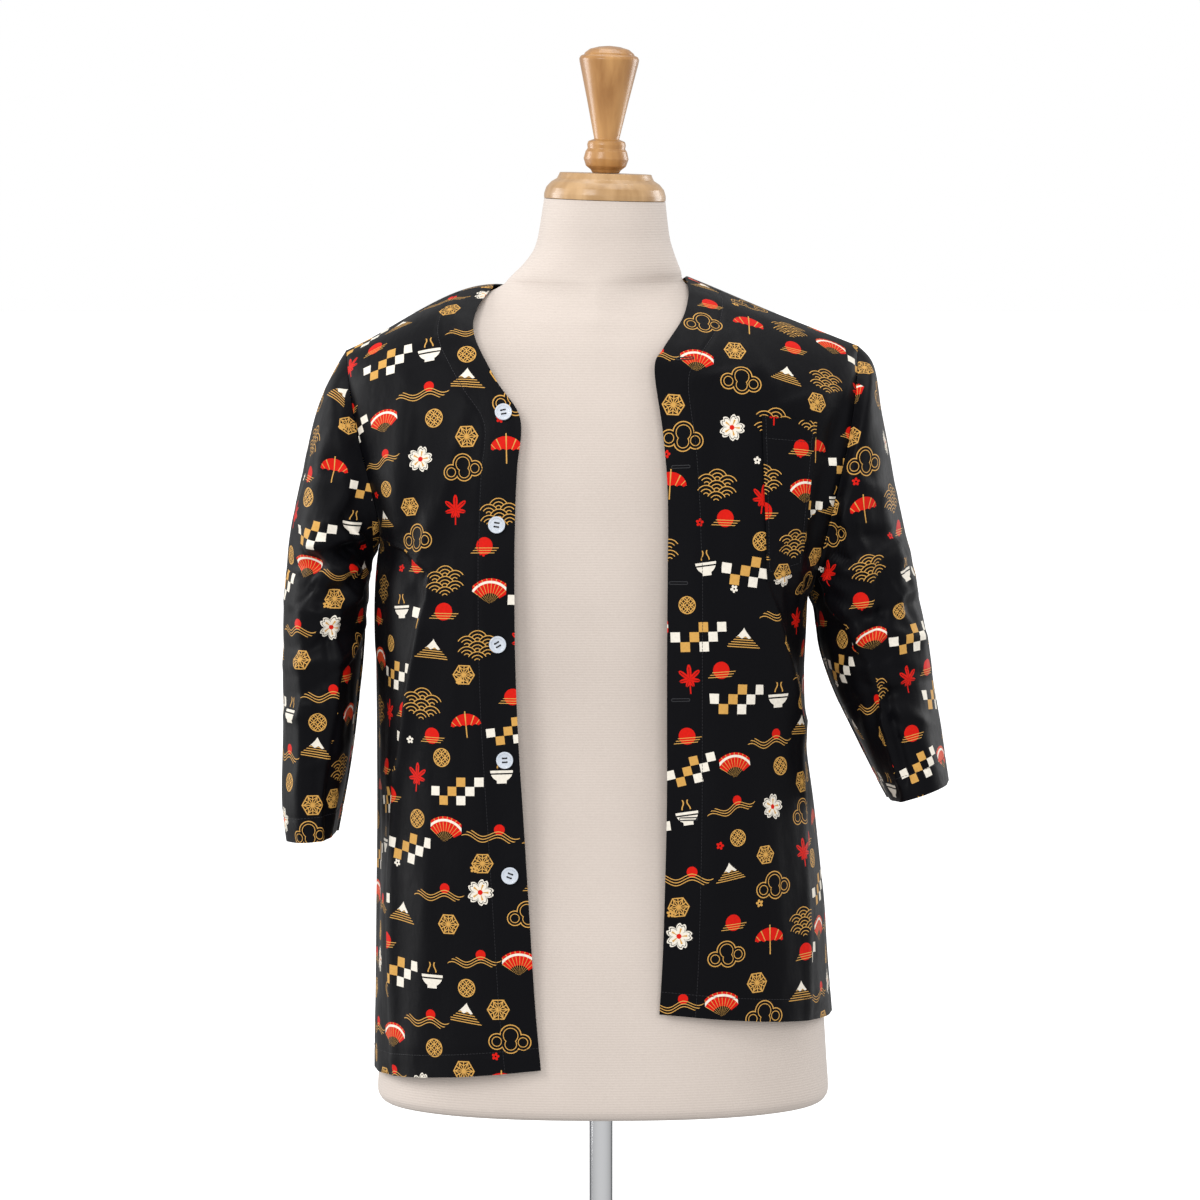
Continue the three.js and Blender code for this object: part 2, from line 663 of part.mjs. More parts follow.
const crown = new THREE.Group();
crown.position.set(CAP_CENTRE_X, 0, CAP_BOTTOM_Z);
crown.rotation.y = CAP_LEAN;
crown.add(turned('neck_cap', CAP_PROFILE, 28, maple));
crown.add(turned('finial', FINIAL_PROFILE, 22, maple));
shirtOnForm.add(crown);

shirtOnForm.add(turned('pole', [
  [0, BASE_THICKNESS + SEAM_GAP],
  [POLE_RADIUS, BASE_THICKNESS + SEAM_GAP],
  [POLE_RADIUS, FORM_BOTTOM_Z - SEAM_GAP],
  [0, FORM_BOTTOM_Z - SEAM_GAP],
], 20, chrome));

shirtOnForm.add(turned('base', BASE_PROFILE, 36, chrome));

export default shirtOnForm;
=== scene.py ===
# %% [markdown]
# # A Japanese chef shirt on a dress form
# The object is a work shirt of printed black cotton with three-quarter sleeves. It hangs open on a
# padded dress form with a turned wooden neck cap and a steel stand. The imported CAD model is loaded
# first and is never moved. Each finished piece then takes the place of its CAD node, so the shirt
# keeps its size.

# %% Load the frame
import math

import bpy
import numpy as np
from mathutils import Matrix, Vector, noise
from mathutils.bvhtree import BVHTree


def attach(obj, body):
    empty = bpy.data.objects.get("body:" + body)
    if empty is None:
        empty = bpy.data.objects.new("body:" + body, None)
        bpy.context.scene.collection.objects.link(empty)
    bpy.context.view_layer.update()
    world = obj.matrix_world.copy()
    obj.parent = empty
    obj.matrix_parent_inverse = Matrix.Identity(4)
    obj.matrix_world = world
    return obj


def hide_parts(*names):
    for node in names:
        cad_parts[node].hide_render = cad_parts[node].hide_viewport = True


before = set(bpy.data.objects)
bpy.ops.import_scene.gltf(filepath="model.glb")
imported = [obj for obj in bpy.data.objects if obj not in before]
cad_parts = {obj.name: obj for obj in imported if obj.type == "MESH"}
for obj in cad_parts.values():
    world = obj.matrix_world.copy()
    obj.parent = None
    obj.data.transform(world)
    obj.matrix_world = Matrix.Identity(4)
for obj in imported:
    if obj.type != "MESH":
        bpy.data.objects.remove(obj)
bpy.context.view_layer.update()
bpy.ops.object.select_all(action="DESELECT")
MM = 0.001
print("CAD nodes:", sorted(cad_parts))

# %% [markdown]
# ## The studio
# A black garment needs broad soft light: small lamps would leave hard spots on its folds. Two big
# soft boxes stand in front, one lies overhead, and two narrow ones at the sides light the edges.
# The fill beside the camera leaves no shine, or it would turn the black cloth grey. The world
# around is plain white, and darker as a light than as a background, so that folds keep their
# shade. The camera has a long lens and stands far off, which keeps the shirt's outline nearly
# flat.

# %% Camera, lights and floor
studio = bpy.context.scene
studio.view_settings.view_transform = "Standard"
CHEST = Vector((-0.0009, 0.0, 1.148))
CAMERA_PLACE = (0, -5.5, 1.6)
WORLD_LIGHT = 0.57


def aimed(made, place, target):
    """Stands a camera or a lamp at a place and turns it to a target."""
    made.location = place
    made.rotation_euler = (Vector(target) - Vector(place)).to_track_quat("-Z", "Y").to_euler()
    studio.collection.objects.link(made)
    return made


lens = bpy.data.cameras.new("long_lens")
lens.sensor_width = 36
lens.lens = 183.95
lens.clip_end = 100
studio.camera = aimed(bpy.data.objects.new("camera", lens), CAMERA_PLACE, CHEST)

SOFT_BOXES = [
    # name, place, width, height, watts
    ("key_box", (-2.3, -3.7, 3.7), 1.8, 1.8, 74),
    ("fill_box", (0.4, -5.0, 2.3), 2.6, 2.4, 146),
    ("top_box", (0.2, 0.4, 4.4), 2.6, 2.0, 48),
    ("left_box", (-3.1, 0.8, 1.7), 1.4, 2.4, 70),
    ("right_box", (2.9, 1.8, 1.8), 1.4, 2.4, 52),
]
for name, place, width, height, watts in SOFT_BOXES:
    box = bpy.data.lights.new(name, "AREA")
    box.shape = "RECTANGLE"
    box.size = width
    box.size_y = height
    box.energy = watts
    lamp = aimed(bpy.data.objects.new(name, box), place, CHEST)
    lamp.visible_glossy = name != "fill_box"

surroundings = bpy.data.worlds.new("white_studio")
studio.world = surroundings
surroundings.use_nodes = True
sky = surroundings.node_tree
sky.nodes.clear()
seen = sky.nodes.new("ShaderNodeLightPath")
strength = sky.nodes.new("ShaderNodeMapRange")
strength.inputs["To Min"].default_value = WORLD_LIGHT
strength.inputs["To Max"].default_value = 1.0
glow = sky.nodes.new("ShaderNodeBackground")
out = sky.nodes.new("ShaderNodeOutputWorld")
sky.links.new(seen.outputs["Is Camera Ray"], strength.inputs["Value"])
sky.links.new(strength.outputs["Result"], glow.inputs["Strength"])
sky.links.new(glow.outputs["Background"], out.inputs["Surface"])
glow.inputs["Color"].default_value = (1, 1, 1, 1)
print("camera and", len(SOFT_BOXES), "soft boxes stand")

# %% [markdown]
# ## Writing materials as sums
# A printed motif is easiest to think of as arithmetic on its place: how far from the middle, and
# at what angle. Blender does that arithmetic with Math nodes, but a hundred of them are hard to
# read when written one by one. So a Field stands for the output of a node, and adding, multiplying
# or comparing Fields lays the next Math node.

# %% A small notation for nodes
class Field:
    """A number that changes over the surface, worked out by the nodes of one tree."""

    def __init__(self, tree, socket):
        self.tree = tree
        self.socket = socket

    def math(self, operation, *others):
        node = self.tree.nodes.new("ShaderNodeMath")
        node.operation = operation
        for socket, value in zip(node.inputs, (self, *others)):
            feed(socket, value)
        return Field(self.tree, node.outputs[0])

    def __add__(self, other):
        return self.math("ADD", other)

    def __sub__(self, other):
        return self.math("SUBTRACT", other)

    def __rsub__(self, other):
        return self.math("MULTIPLY_ADD", -1.0, other)

    def __mul__(self, other):
        return self.math("MULTIPLY", other)

    def __truediv__(self, other):
        return self.math("DIVIDE", other)

    def __pow__(self, other):
        return self.math("POWER", other)

    def __mod__(self, other):
        return self.math("FLOORED_MODULO", other)

    def __lt__(self, other):
        return self.math("LESS_THAN", other)

    def __gt__(self, other):
        return self.math("GREATER_THAN", other)

    def __abs__(self):
        return self.math("ABSOLUTE")

    def floor(self):
        return self.math("FLOOR")

    def fraction(self):
        return self.math("FRACT")

    def sine(self):
        return self.math("SINE")

    def cosine(self):
        return self.math("COSINE")

    def least(self, other):
        return self.math("MINIMUM", other)

    def most(self, other):
        return self.math("MAXIMUM", other)


def feed(socket, value):
    """Links a Field or a socket to an input, or writes a plain value on it."""
    if isinstance(value, Field):
        value = value.socket
    if isinstance(value, bpy.types.NodeSocket):
        socket.id_data.links.new(value, socket)
    else:
        socket.default_value = value


def lay(tree, kind, settings=None, **inputs):
    """Adds one node. Inputs are given by their names, with _ for a space."""
    node = tree.nodes.new("ShaderNode" + kind)
    for name, value in (settings or {}).items():
        setattr(node, name, value)
    for name, value in inputs.items():
        feed(node.inputs[name.replace("_", " ")], value)
    return node


def number(tree, node, output=0):
    return Field(tree, node.outputs[output])


def length(x, y):
    """The distance from the middle, from two Fields."""
    node = lay(x.tree, "CombineXYZ", X=x, Y=y)
    measured = lay(x.tree, "VectorMath", {"operation": "LENGTH"})
    feed(measured.inputs[0], node.outputs[0])
    return Field(x.tree, measured.outputs["Value"])


def pick(mask, here, elsewhere):
    """Here where the mask is 1, elsewhere where it is 0."""
    if isinstance(here, Field):
        return (here - elsewhere).math("MULTIPLY_ADD", mask, elsewhere)
    return (mask * here) + (elsewhere * (1 - mask))


# %% [markdown]
# ## The inks
# The cotton is printed with three inks on black: ochre, cream and vermilion. Each motif below
# answers one question for every point: which ink is here? 0 is the bare ground, 1 ochre, 2 cream
# and 3 vermilion. The motifs are common ones of Japanese cloth, drawn from their geometry: waves,
# plum blossom, a folding fan, checks, a cloud, a sun in mist, hemp leaf, maple, a tea bowl, an
# umbrella, a mountain, linked rings and running water. One unit is 12.5 to 23 mm.

# %% The motifs
OCHRE, CREAM, RED = 1.0, 2.0, 3.0
FULL_TURN = 2 * math.pi
LINE = 0.034


def waves(x, y, r, a):
    """Rows of round scales in thin lines, each lower row in front of the one above it."""
    radius, rise = 0.42, 0.21
    lowest = ((y - radius) / rise).math("CEIL")
    nearest = middle_x = middle_y = None
    for step in (2, 1, 0):
        row = lowest + float(step)
        side = x + (row % 2.0) * radius
        across = ((side / (2 * radius)).fraction() - 0.5) * (2 * radius)
        distance = length(across, y - row * rise) / radius
        if nearest is None:
            nearest, middle_x, middle_y = distance, x - across, row * rise
        else:
            here = distance < 1.0
            nearest = pick(here, distance, nearest)
            middle_x = pick(here, x - across, middle_x)
            middle_y = pick(here, row * rise, middle_y)
    ring = ((nearest * 3.0).fraction() > 0.75) * (nearest < 1.0)
    return ring * (abs(middle_x) * 1.2 + abs(middle_y + 0.2) * 1.7 < 0.88) * OCHRE


def blossom(x, y, r, a):
    """Five notched petals with an outline, stamens and a red heart."""
    lobe = abs((a * 2.5).cosine())
    edge = (lobe ** 0.7) * 0.34 + 0.38 - (lobe ** 24.0) * 0.12
    petal = pick((lobe > 0.95) * (r < 0.42), lobe * 0.0 + OCHRE, lobe * 0.0 + CREAM)
    petal = pick(r < 0.13, petal * 0.0 + RED, petal)
    return petal * (r < edge) * (abs(r - edge + 0.1) > 0.022)


def fan(x, y, r, a):
    """An open folding fan: a red paper leaf with ochre ribs over bare sticks."""
    up = y + 0.62
    reach = length(x, up)
    angle = x.math("ARCTAN2", up)
    rib = (angle * 5.0).fraction() < 0.16
    leaf = pick(abs(reach - 1.1) < 0.06, rib * 0.0 + CREAM, pick(rib, rib * OCHRE, rib * 0.0 + RED))
    whole = pick(reach > 0.55, leaf, rib * OCHRE)
    return whole * (abs(angle) < 1.0) * (reach < 1.28) * (reach > 0.06)


def checks(x, y, r, a):
    """A drift of whole squares, every second one printed in ochre or cream."""
    column, row = (x / 0.37).floor(), (y / 0.37 + 0.5).floor()
    inside = abs(column + 0.5 - row) + abs(row) * 1.3 < 2.9
    ink = ((column + row * 3.0) % 4.0 < 1.5) + OCHRE
    return ink * inside * ((column + row) % 2.0)


def cloud(x, y, r, a):
    """Puffs drawn by one ochre line, with a second line inside it."""
    puffs = [(-0.5, -0.12, 0.3), (0.02, 0.14, 0.4), (0.5, -0.1, 0.3), (0.04, -0.2, 0.34)]
    depth = None
    for across, up, radius in puffs:
        puff = length(x - across, y - up) - radius
        depth = puff if depth is None else depth.least(puff)
    return (abs(depth) < LINE * 0.6).most(abs(depth + 0.12) < LINE * 0.45) * OCHRE


def sun(x, y, r, a):
    """A round red sun with three thin bars of mist across its foot."""
    bar = (abs(y + 0.3).math("PINGPONG", 0.085) < 0.026) * (abs(y + 0.3) < 0.2)
    mist = bar * (abs(x - y * 0.9 - 0.3) < 0.86)
    return pick(mist, mist * OCHRE, (r < 0.6) * RED)


def hemp_leaf(x, y, r, a):
    """A six-sided crest of crossing lines."""
    slice_angle = abs((a % (FULL_TURN / 6)) - FULL_TURN / 12)
    along, beside = r * slice_angle.cosine(), r * slice_angle.sine()
    line = (beside < LINE).most(abs(along * 0.5 - beside * 0.866) < LINE)
    line = line.most(abs(along - 0.36 - beside * 0.6) < LINE).most(along > 0.6)
    return line * (along < 0.68) * OCHRE


def maple(x, y, r, a):
    """A leaf of seven points on a short stalk."""
    lobe = abs(((a - math.pi / 2) * 3.5).cosine())
    edge = (lobe ** 1.8) * 0.42 * ((a.sine() * 0.4) + 0.75) + 0.26
    stalk = (abs(x) < 0.035) * (y < 0.0) * (y > -0.74)
    return ((r < edge) * (lobe < 0.992).most(r > 0.6)).most(stalk) * RED


def tea_bowl(x, y, r, a):
    """A footed bowl with a band round it and two threads of steam."""
    foot = (abs(x) < 0.26) * (y < -0.5) * (y > -0.68)
    bowl = ((length(x, y - 0.02) < 0.6) * (y < 0.02)).most(foot)
    bowl = bowl * (abs(y + 0.16) > 0.04)
    drift = (y * 9.0).sine() * 0.06
    steam = (abs(abs(x) - 0.16 - drift) < LINE) * (y > 0.14) * (y < 0.66)
    return pick(steam, steam * OCHRE, bowl * CREAM)


def umbrella(x, y, r, a):
    """A paper umbrella from the side: a red dome with ochre ribs and a stick."""
    up = y + 0.1
    reach = length(x * 0.82, up)
    rib = (abs((x / (up + 0.55) * 2.2).fraction() - 0.5) > 0.43) * (reach < 0.7)
    dome = (reach < 0.7) * (up > abs((x * 9.0).sine()) * 0.07)
    stick = (abs(x) < 0.032) * (y < 0.74) * (y > -0.74)
    return pick(dome, pick(rib, rib * OCHRE, dome * RED), stick * OCHRE)


def mountain(x, y, r, a):
    """A snow-capped cone whose lower slopes are thin lines."""
    below = y < (abs(x) ** 0.8) * -1.05 + 0.62
    cap = y > (x * 17.0).sine() * 0.05 + 0.14
    slope = (y * 8.5).fraction() < 0.36
    return pick(cap, cap * CREAM, slope * OCHRE) * below * (y > -0.42)


def linked_rings(x, y, r, a):
    """A round crest of circles that overlap by a quarter."""
    across, up = abs((x / 0.56).fraction() - 0.5), abs((y / 0.56).fraction() - 0.5)
    middle, corner = length(across, up), length(across - 0.5, up - 0.5)
    line = (abs(middle - 0.5) < 0.06).most(abs(corner - 0.5) < 0.06).most(r > 0.6)
    return line * (r < 0.67) * OCHRE


def stream(x, y, r, a):
    """Three lines of running water with a small sun over them."""
    wave = y + 0.16 - (x * 5.2).sine() * 0.11
    inside = (abs(wave) < 0.14) * (abs(x - wave * 1.6) < 0.92)
    line = (abs(wave).math("PINGPONG", 0.055) < 0.017) * inside
    return pick(line, line * OCHRE, (length(x - 0.3, y - 0.14) < 0.2) * RED)


WIDE = [waves, checks, stream, cloud]
TALL = [fan, tea_bowl, maple, umbrella, blossom, mountain]
SMALL = [sun, linked_rings, hemp_leaf]
MOTIFS = WIDE + TALL + SMALL
print(len(MOTIFS), "motifs:", ", ".join(motif.__name__ for motif in MOTIFS))

# %% [markdown]
# ## The repeat
# Cloth is printed from one block or roller, so its motifs come round again. Here a block has four
# columns of five cells, and each row slides by two fifths of a cell, which hides the columns. A
# cell is split like brickwork: a wide motif with a small one under or over it, and a tall one at
# its right. The cell's column and row choose the motifs, so that neighbours differ, and White
# Noise on the same two numbers tilts, shifts and sizes them. Small blossoms fill a few gaps.

# %% The printed pattern as a group of nodes
CELL_WIDTH, CELL_HEIGHT = 82.0, 56.0
BLOCK_COLUMNS, BLOCK_ROWS = 4, 5
ROW_SLIDE = 0.4
# middle x and y, play in x and y, size of one unit, in mm
WIDE_PLACE = (-15.0, 9.5, 4.0, 4.0, 23.0)
SMALL_PLACE = (-15.0, -18.5, 28.0, 1.5, 12.5)
TALL_PLACE = (26.0, 0.0, 3.0, 26.0, 17.5)
TALL_FROM, SMALL_BELOW = 11.0, -9.0
BLOSSOM_SHIFT, BLOSSOM_SIZE = (0.36, 0.42), 4.2


def cells(u, v, shift_u, shift_v):
    """Places in the block: across and up in the cell, and the cell's two numbers."""
    up = v * (1000 / CELL_HEIGHT) + shift_v
    row = up.floor()
    across = u * (1000 / CELL_WIDTH) + row * ROW_SLIDE + shift_u
    x, y = across.fraction() - 0.5, up.fraction() - 0.5
    column = across.floor() % float(BLOCK_COLUMNS)
    return x * CELL_WIDTH, y * CELL_HEIGHT, column, row % float(BLOCK_ROWS)


def chance(tree, column, row, seed):
    """Three even numbers from 0 to 1 that belong to a cell."""
    place = lay(tree, "CombineXYZ", X=column, Y=row, Z=seed)
    dice = lay(tree, "TexWhiteNoise", {"noise_dimensions": "3D"}, Vector=place.outputs[0])
    split = lay(tree, "SeparateColor", Color=dice.outputs["Color"])
    return [number(tree, split, i) for i in range(3)]


def turned(x, y, angle):
    """A place turned about the middle."""
    cosine, sine = angle.cosine(), angle.sine()
    return x * cosine - y * sine, x * sine + y * cosine


def printed_pattern():
    """The group that says which ink lies at a place on the cloth, in metres."""
    group = bpy.data.node_groups.new("printed_pattern", "ShaderNodeTree")
    group.interface.new_socket("Place", in_out="INPUT", socket_type="NodeSocketVector")
    group.interface.new_socket("Ink", in_out="OUTPUT", socket_type="NodeSocketFloat")
    place = lay(group, "SeparateXYZ", Vector=group.nodes.new("NodeGroupInput").outputs[0])
    u, v = number(group, place, 0), number(group, place, 1)

    x, y, column, row = cells(u, v, 0.0, 0.0)
    flip = 1 - (column + row) % 2.0 * 2.0
    in_tall = x > TALL_FROM
    in_small = (y * flip < SMALL_BELOW) * (1 - in_tall)
    middle_x, middle_y, play_x, play_y, size = (
        in_tall * (tall - wide) + in_small * (small - wide) + wide
        for wide, small, tall in zip(WIDE_PLACE, SMALL_PLACE, TALL_PLACE))
    lean, shift, grow = chance(group, column, row + in_tall * 7.0 + in_small * 17.0, 5.0)
    size = size * (grow * 0.16 + 0.9)
    x = (x - middle_x + (shift - 0.5) * play_x) / size
    y = (y - middle_y * flip + (lean - 0.5) * play_y) / size
    x, y = turned(x, y, (grow - 0.5) * (1 - in_small) * 0.3)
    r, a = length(x, y), y.math("ARCTAN2", x)
    wide_kind = (column + row * 3.0) % float(len(WIDE))
    tall_kind = (column * 5.0 + row * 2.0) % float(len(TALL)) + float(len(WIDE))
    small_kind = (column + row * 2.0) % float(len(SMALL)) + float(len(WIDE) + len(TALL))
    kind = pick(in_tall, tall_kind, pick(in_small, small_kind, wide_kind))
    ink = kind * 0.0
    for place_in_list, motif in enumerate(MOTIFS):
        chosen = abs(kind - float(place_in_list)) < 0.5
        ink = ink + motif(x, y, r, a) * chosen

    x, y, column, row = cells(u, v, *BLOSSOM_SHIFT)
    lean, hue, grow = chance(group, column, row, 11.0)
    x, y = turned(x / BLOSSOM_SIZE, y / BLOSSOM_SIZE, lean * FULL_TURN)
    r, a = length(x, y), y.math("ARCTAN2", x)
    lobe = abs((a * 2.5).cosine())
    bloom = (r < (lobe ** 0.8) * 0.45 + 0.4) * (r > 0.2)
    small = bloom * (grow > 0.3) * ((hue * 3.0).floor() + 1.0)
    ink = pick(ink > 0.5, ink, small)

    result = group.nodes.new("NodeGroupOutput")
    feed(result.inputs["Ink"], ink)
    return group


pattern_group = printed_pattern()
print("printed pattern:", len(pattern_group.nodes), "nodes")

# %% [markdown]
# ## The printed cotton
# Cotton is dull, with a faint bloom where light skims it, so the shader is rough and has a little
# sheen. The print follows the UV map, which is laid in metres of cloth, and jumps along the line
# marked past_seam, where two cut parts meet and their prints don't match. Bump adds the weave and
# the small puckers and ridges that are too fine for the mesh.

# %% Cloth material
# bare ground, ochre, cream and red
INK_COLOURS = [
    (0.0026, 0.0026, 0.0036, 1),
    (0.56, 0.305, 0.075, 1),
    (0.74, 0.69, 0.60, 1),
    (0.58, 0.010, 0.005, 1),
]
SEAM_JUMP = (0.137, 0.071)


def new_material(name, colour):
    """A material with its node tree and its shader."""
    material = bpy.data.materials.new(name)
    material.use_nodes = True
    material.diffuse_color = colour
    shader = material.node_tree.nodes["Principled BSDF"]
    return material, material.node_tree, shader


def weave_bump(tree, uv):
    """Fine threads, small puckers and sharper ridges, as a normal."""
    threads = lay(tree, "TexNoise", Vector=uv, Scale=900.0, Detail=1.0)
    threads_bump = lay(tree, "Bump", Strength=0.35, Distance=0.0002, Height=threads.outputs["Fac"])
    stretched = lay(tree, "Mapping", Vector=uv, Scale=(1.0, 0.45, 1.0))
    puckers = lay(tree, "TexNoise", Vector=stretched.outputs[0], Scale=34.0, Detail=3.0,
                  Roughness=0.55)
    pucker_bump = lay(tree, "Bump", Strength=0.6, Distance=0.0022, Height=puckers.outputs["Fac"])
    feed(pucker_bump.inputs["Normal"], threads_bump.outputs["Normal"])
    ridges = lay(tree, "TexNoise", {"noise_type": "RIDGED_MULTIFRACTAL"},
                 Vector=stretched.outputs[0], Scale=15.0, Detail=2.0, Distortion=0.6)
    crush = lay(tree, "Bump", Strength=0.35, Distance=0.0016, Height=ridges.outputs["Fac"])
    feed(crush.inputs["Normal"], pucker_bump.outputs["Normal"])
    return crush.outputs["Normal"]


def printed_cotton():
    cotton, tree, shader = new_material("printed_cotton", (0.02, 0.02, 0.025, 1))
    uv = lay(tree, "UVMap", {"uv_map": "cloth"}).outputs["UV"]
    seam = number(tree, lay(tree, "Attribute", {"attribute_name": "past_seam"}), "Fac")
    beyond = seam > 0.0
    jump = lay(tree, "CombineXYZ", X=beyond * SEAM_JUMP[0], Y=beyond * SEAM_JUMP[1])
    place = lay(tree, "VectorMath", {"operation": "ADD"})
    feed(place.inputs[0], uv)
    feed(place.inputs[1], jump.outputs[0])
    pattern = lay(tree, "Group", {"node_tree": pattern_group}, Place=place.outputs[0])
    ink = Field(tree, pattern.outputs["Ink"])
    ramp = lay(tree, "ValToRGB", Fac=ink / 4.0 + 0.02)
    ramp.color_ramp.interpolation = "CONSTANT"
    for _ in range(2):
        ramp.color_ramp.elements.new(0.5)
    for step, (element, colour) in enumerate(zip(ramp.color_ramp.elements, INK_COLOURS)):
        element.position = step / 4
        element.color = colour
    fade = lay(tree, "TexNoise", Vector=uv, Scale=420.0, Detail=2.0)
    worn = Field(tree, fade.outputs["Fac"]) * 0.34 + 0.83
    dull = lay(tree, "Mix", {"data_type": "RGBA", "blend_type": "MULTIPLY"}, Factor=1.0)
    feed(dull.inputs[6], ramp.outputs["Color"])
    grey = lay(tree, "CombineColor", Red=worn, Green=worn, Blue=worn)
    feed(dull.inputs[7], grey.outputs[0])
    feed(shader.inputs["Base Color"], dull.outputs[2])
    rough = lay(tree, "TexNoise", Vector=uv, Scale=60.0, Detail=2.0)
    feed(shader.inputs["Roughness"], Field(tree, rough.outputs["Fac"]) * 0.16 + 0.42)
    feed(shader.inputs["Normal"], weave_bump(tree, uv))
    shader.inputs["Specular IOR Level"].default_value = 0.10
    shader.inputs["Sheen Weight"].default_value = 0.02
    shader.inputs["Sheen Roughness"].default_value = 0.25
    shader.inputs["Sheen Tint"].default_value = (0.85, 0.87, 0.95, 1)
    return cotton


cotton = printed_cotton()


def plain_thread(name, colour):
    """Twisted sewing thread: dull, with fine light and dark turns."""
    thread, tree, shader = new_material(name, colour)
    place = lay(tree, "TexCoord").outputs["Object"]
    twist = lay(tree, "TexNoise", Vector=place, Scale=1800.0, Detail=1.0)
    mix = lay(tree, "Mix", {"data_type": "RGBA"}, Factor=twist.outputs["Fac"])
    feed(mix.inputs[6], tuple(0.6 * c for c in colour[:3]) + (1,))
    feed(mix.inputs[7], tuple(min(1.4 * c, 1) for c in colour[:3]) + (1,))
    feed(shader.inputs["Base Color"], mix.outputs[2])
    bump = lay(tree, "Bump", Strength=0.5, Distance=0.0001, Height=twist.outputs["Fac"])
    feed(shader.inputs["Normal"], bump.outputs["Normal"])
    shader.inputs["Roughness"].default_value = 0.62
    return thread


black_thread = plain_thread("black_thread", (0.012, 0.012, 0.015, 1))
print("materials:", cotton.name, black_thread.name)

# %% [markdown]
# ## The cut of the body
# Each front and half of the back is one surface. It is given level by level from the hem up: where
# the side of the shirt is, where the front or back is deepest, and how square the shirt hangs
# there. A smooth curve through those levels gives rows as close as the cloth needs, and a rounded
# quarter of an oval gives each row. Millimetres are used here, as on a paper pattern.

# %% Tables of the body
# side x, side z, front cut, back cut, front x y z, back x y z, turn, rise, squareness
RIGHT_BODY = [
    [-205, 727, 0, 0, -53, -141, 743, 0, 136, 746, 90, 0, 2.3],
    [-204, 790, 0, 0, -58, -141, 799, 0, 137, 808, 90, 0, 2.3],
    [-203, 875, 0, 0, -63, -140, 879, 0, 135, 884, 90, 0, 2.35],
    [-202, 955, 0, 0, -68, -138, 960, 0, 130, 960, 90, 0, 2.45],
    [-202, 1035, 0, 0, -73, -136, 1040, 0, 126, 1040, 90, 0, 2.6],
    [-202.5, 1108, 0, 0, -75.5, -135, 1112, 0, 124, 1115, 90, 0, 2.75],
    [-202, 1162, 0, 0, -76, -134.5, 1166, 0, 123.5, 1172, 90, 0, 2.9],
    [-200, 1193, 0, 0, -76, -133.5, 1200, 0, 122.5, 1222, 88, 0, 2.9],
    [-197.5, 1204, -40, 38, -75.5, -132, 1222, 0, 121, 1265, 82, 0, 2.75],
    [-198, 1226, -68, 62, -75, -130, 1245, 0, 117.5, 1318, 75, 0, 2.5],
    [-204, 1255, -77, 73, -73.5, -127, 1275, 0, 108, 1372, 67, 0, 2.35],
    [-213, 1290, -72, 70, -71, -119, 1318, 0, 91, 1423, 61, 2, 2.25],
    [-220, 1320, -58, 58, -92, -104, 1350, -38, 86, 1425, 62, 4, 2.2],
    [-225, 1350, -36, 37, -112, -76, 1389, -74, 64, 1429, 70, 7, 2.1],
    [-227.5, 1367, -14, 15, -110, -46, 1412, -95, 36, 1431, 80, 9, 2],
    [-228, 1373, -0.15, 0.15, -97, -0.15, 1430, -97, 0.15, 1430, 90, 9, 2],
]
LEFT_BODY = [
    [209, 777, 0, 0, 51.5, -141, 793, 0, 136, 746, 90, 0, 2.3],
    [205, 825, 0, 0, 54.5, -141, 845, 0, 137, 808, 90, 0, 2.3],
    [201, 880, 0, 0, 56.5, -140, 910, 0, 135, 884, 90, 0, 2.35],
    [193, 945, 0, 0, 58, -138, 980, 0, 130, 960, 90, 0, 2.45],
    [182.5, 1020, 0, 0, 58, -136, 1050, 0, 126, 1040, 90, 0, 2.6],
    [182.5, 1080, 0, 0, 58, -135, 1110, 0, 124, 1115, 90, 0, 2.75],
    [184, 1124, 0, 0, 58.3, -134.5, 1155, 0, 123.5, 1172, 90, 0, 2.9],
    [186, 1151, 0, 0, 58.6, -133.5, 1190, 0, 122.5, 1222, 88, 0, 2.9],
    [189.5, 1163, -40, 38, 58.8, -132, 1222, 0, 121, 1265, 82, 0, 2.75],
    [195, 1192, -68, 62, 58, -130, 1262, 0, 117.5, 1318, 75, 0, 2.5],
    [206, 1238, -77, 73, 54, -126, 1308, 0, 108, 1372, 67, 0, 2.35],
    [217, 1285, -73, 70, 47, -116, 1361, 0, 91, 1423, 61, 2, 2.25],
    [224, 1322, -58, 58, 55, -104, 1379, 38, 86, 1427, 62, 2, 2.2],
    [228, 1352, -36, 37, 72, -74, 1404, 68, 62, 1433, 70, 2, 2.1],
    [229.5, 1370, -14, 15, 78, -43, 1425, 77, 34, 1438, 80, 1, 2],
    [230, 1377, -0.15, 0.15, 76, -0.15, 1438, 76, 0.15, 1438, 90, 0, 2],
]
SEAM_HALF_GAP = 0.15
UNDERARM_LEVEL, NECK_LEVEL = 7, 11
LEVELS = len(RIGHT_BODY) - 1


def smooth_levels(table, places):
    """Rows at any place between the levels of a table, on one smooth curve."""
    table = np.asarray(table, float)
    last = len(table) - 1
    here = np.minimum(places.astype(int), last - 1)
    t = (places - here)[:, None]
    a, b, c, d = (table[np.clip(here + k, 0, last)] for k in (-1, 0, 1, 2))
    bend, twist = 2 * a - 5 * b + 4 * c - d, 3 * b - a - 3 * c + d
    return 0.5 * (2 * b + (c - a) * t + bend * t**2 + twist * t**3)


def bent(value, exponent):
    return np.sign(value) * np.abs(value) ** exponent


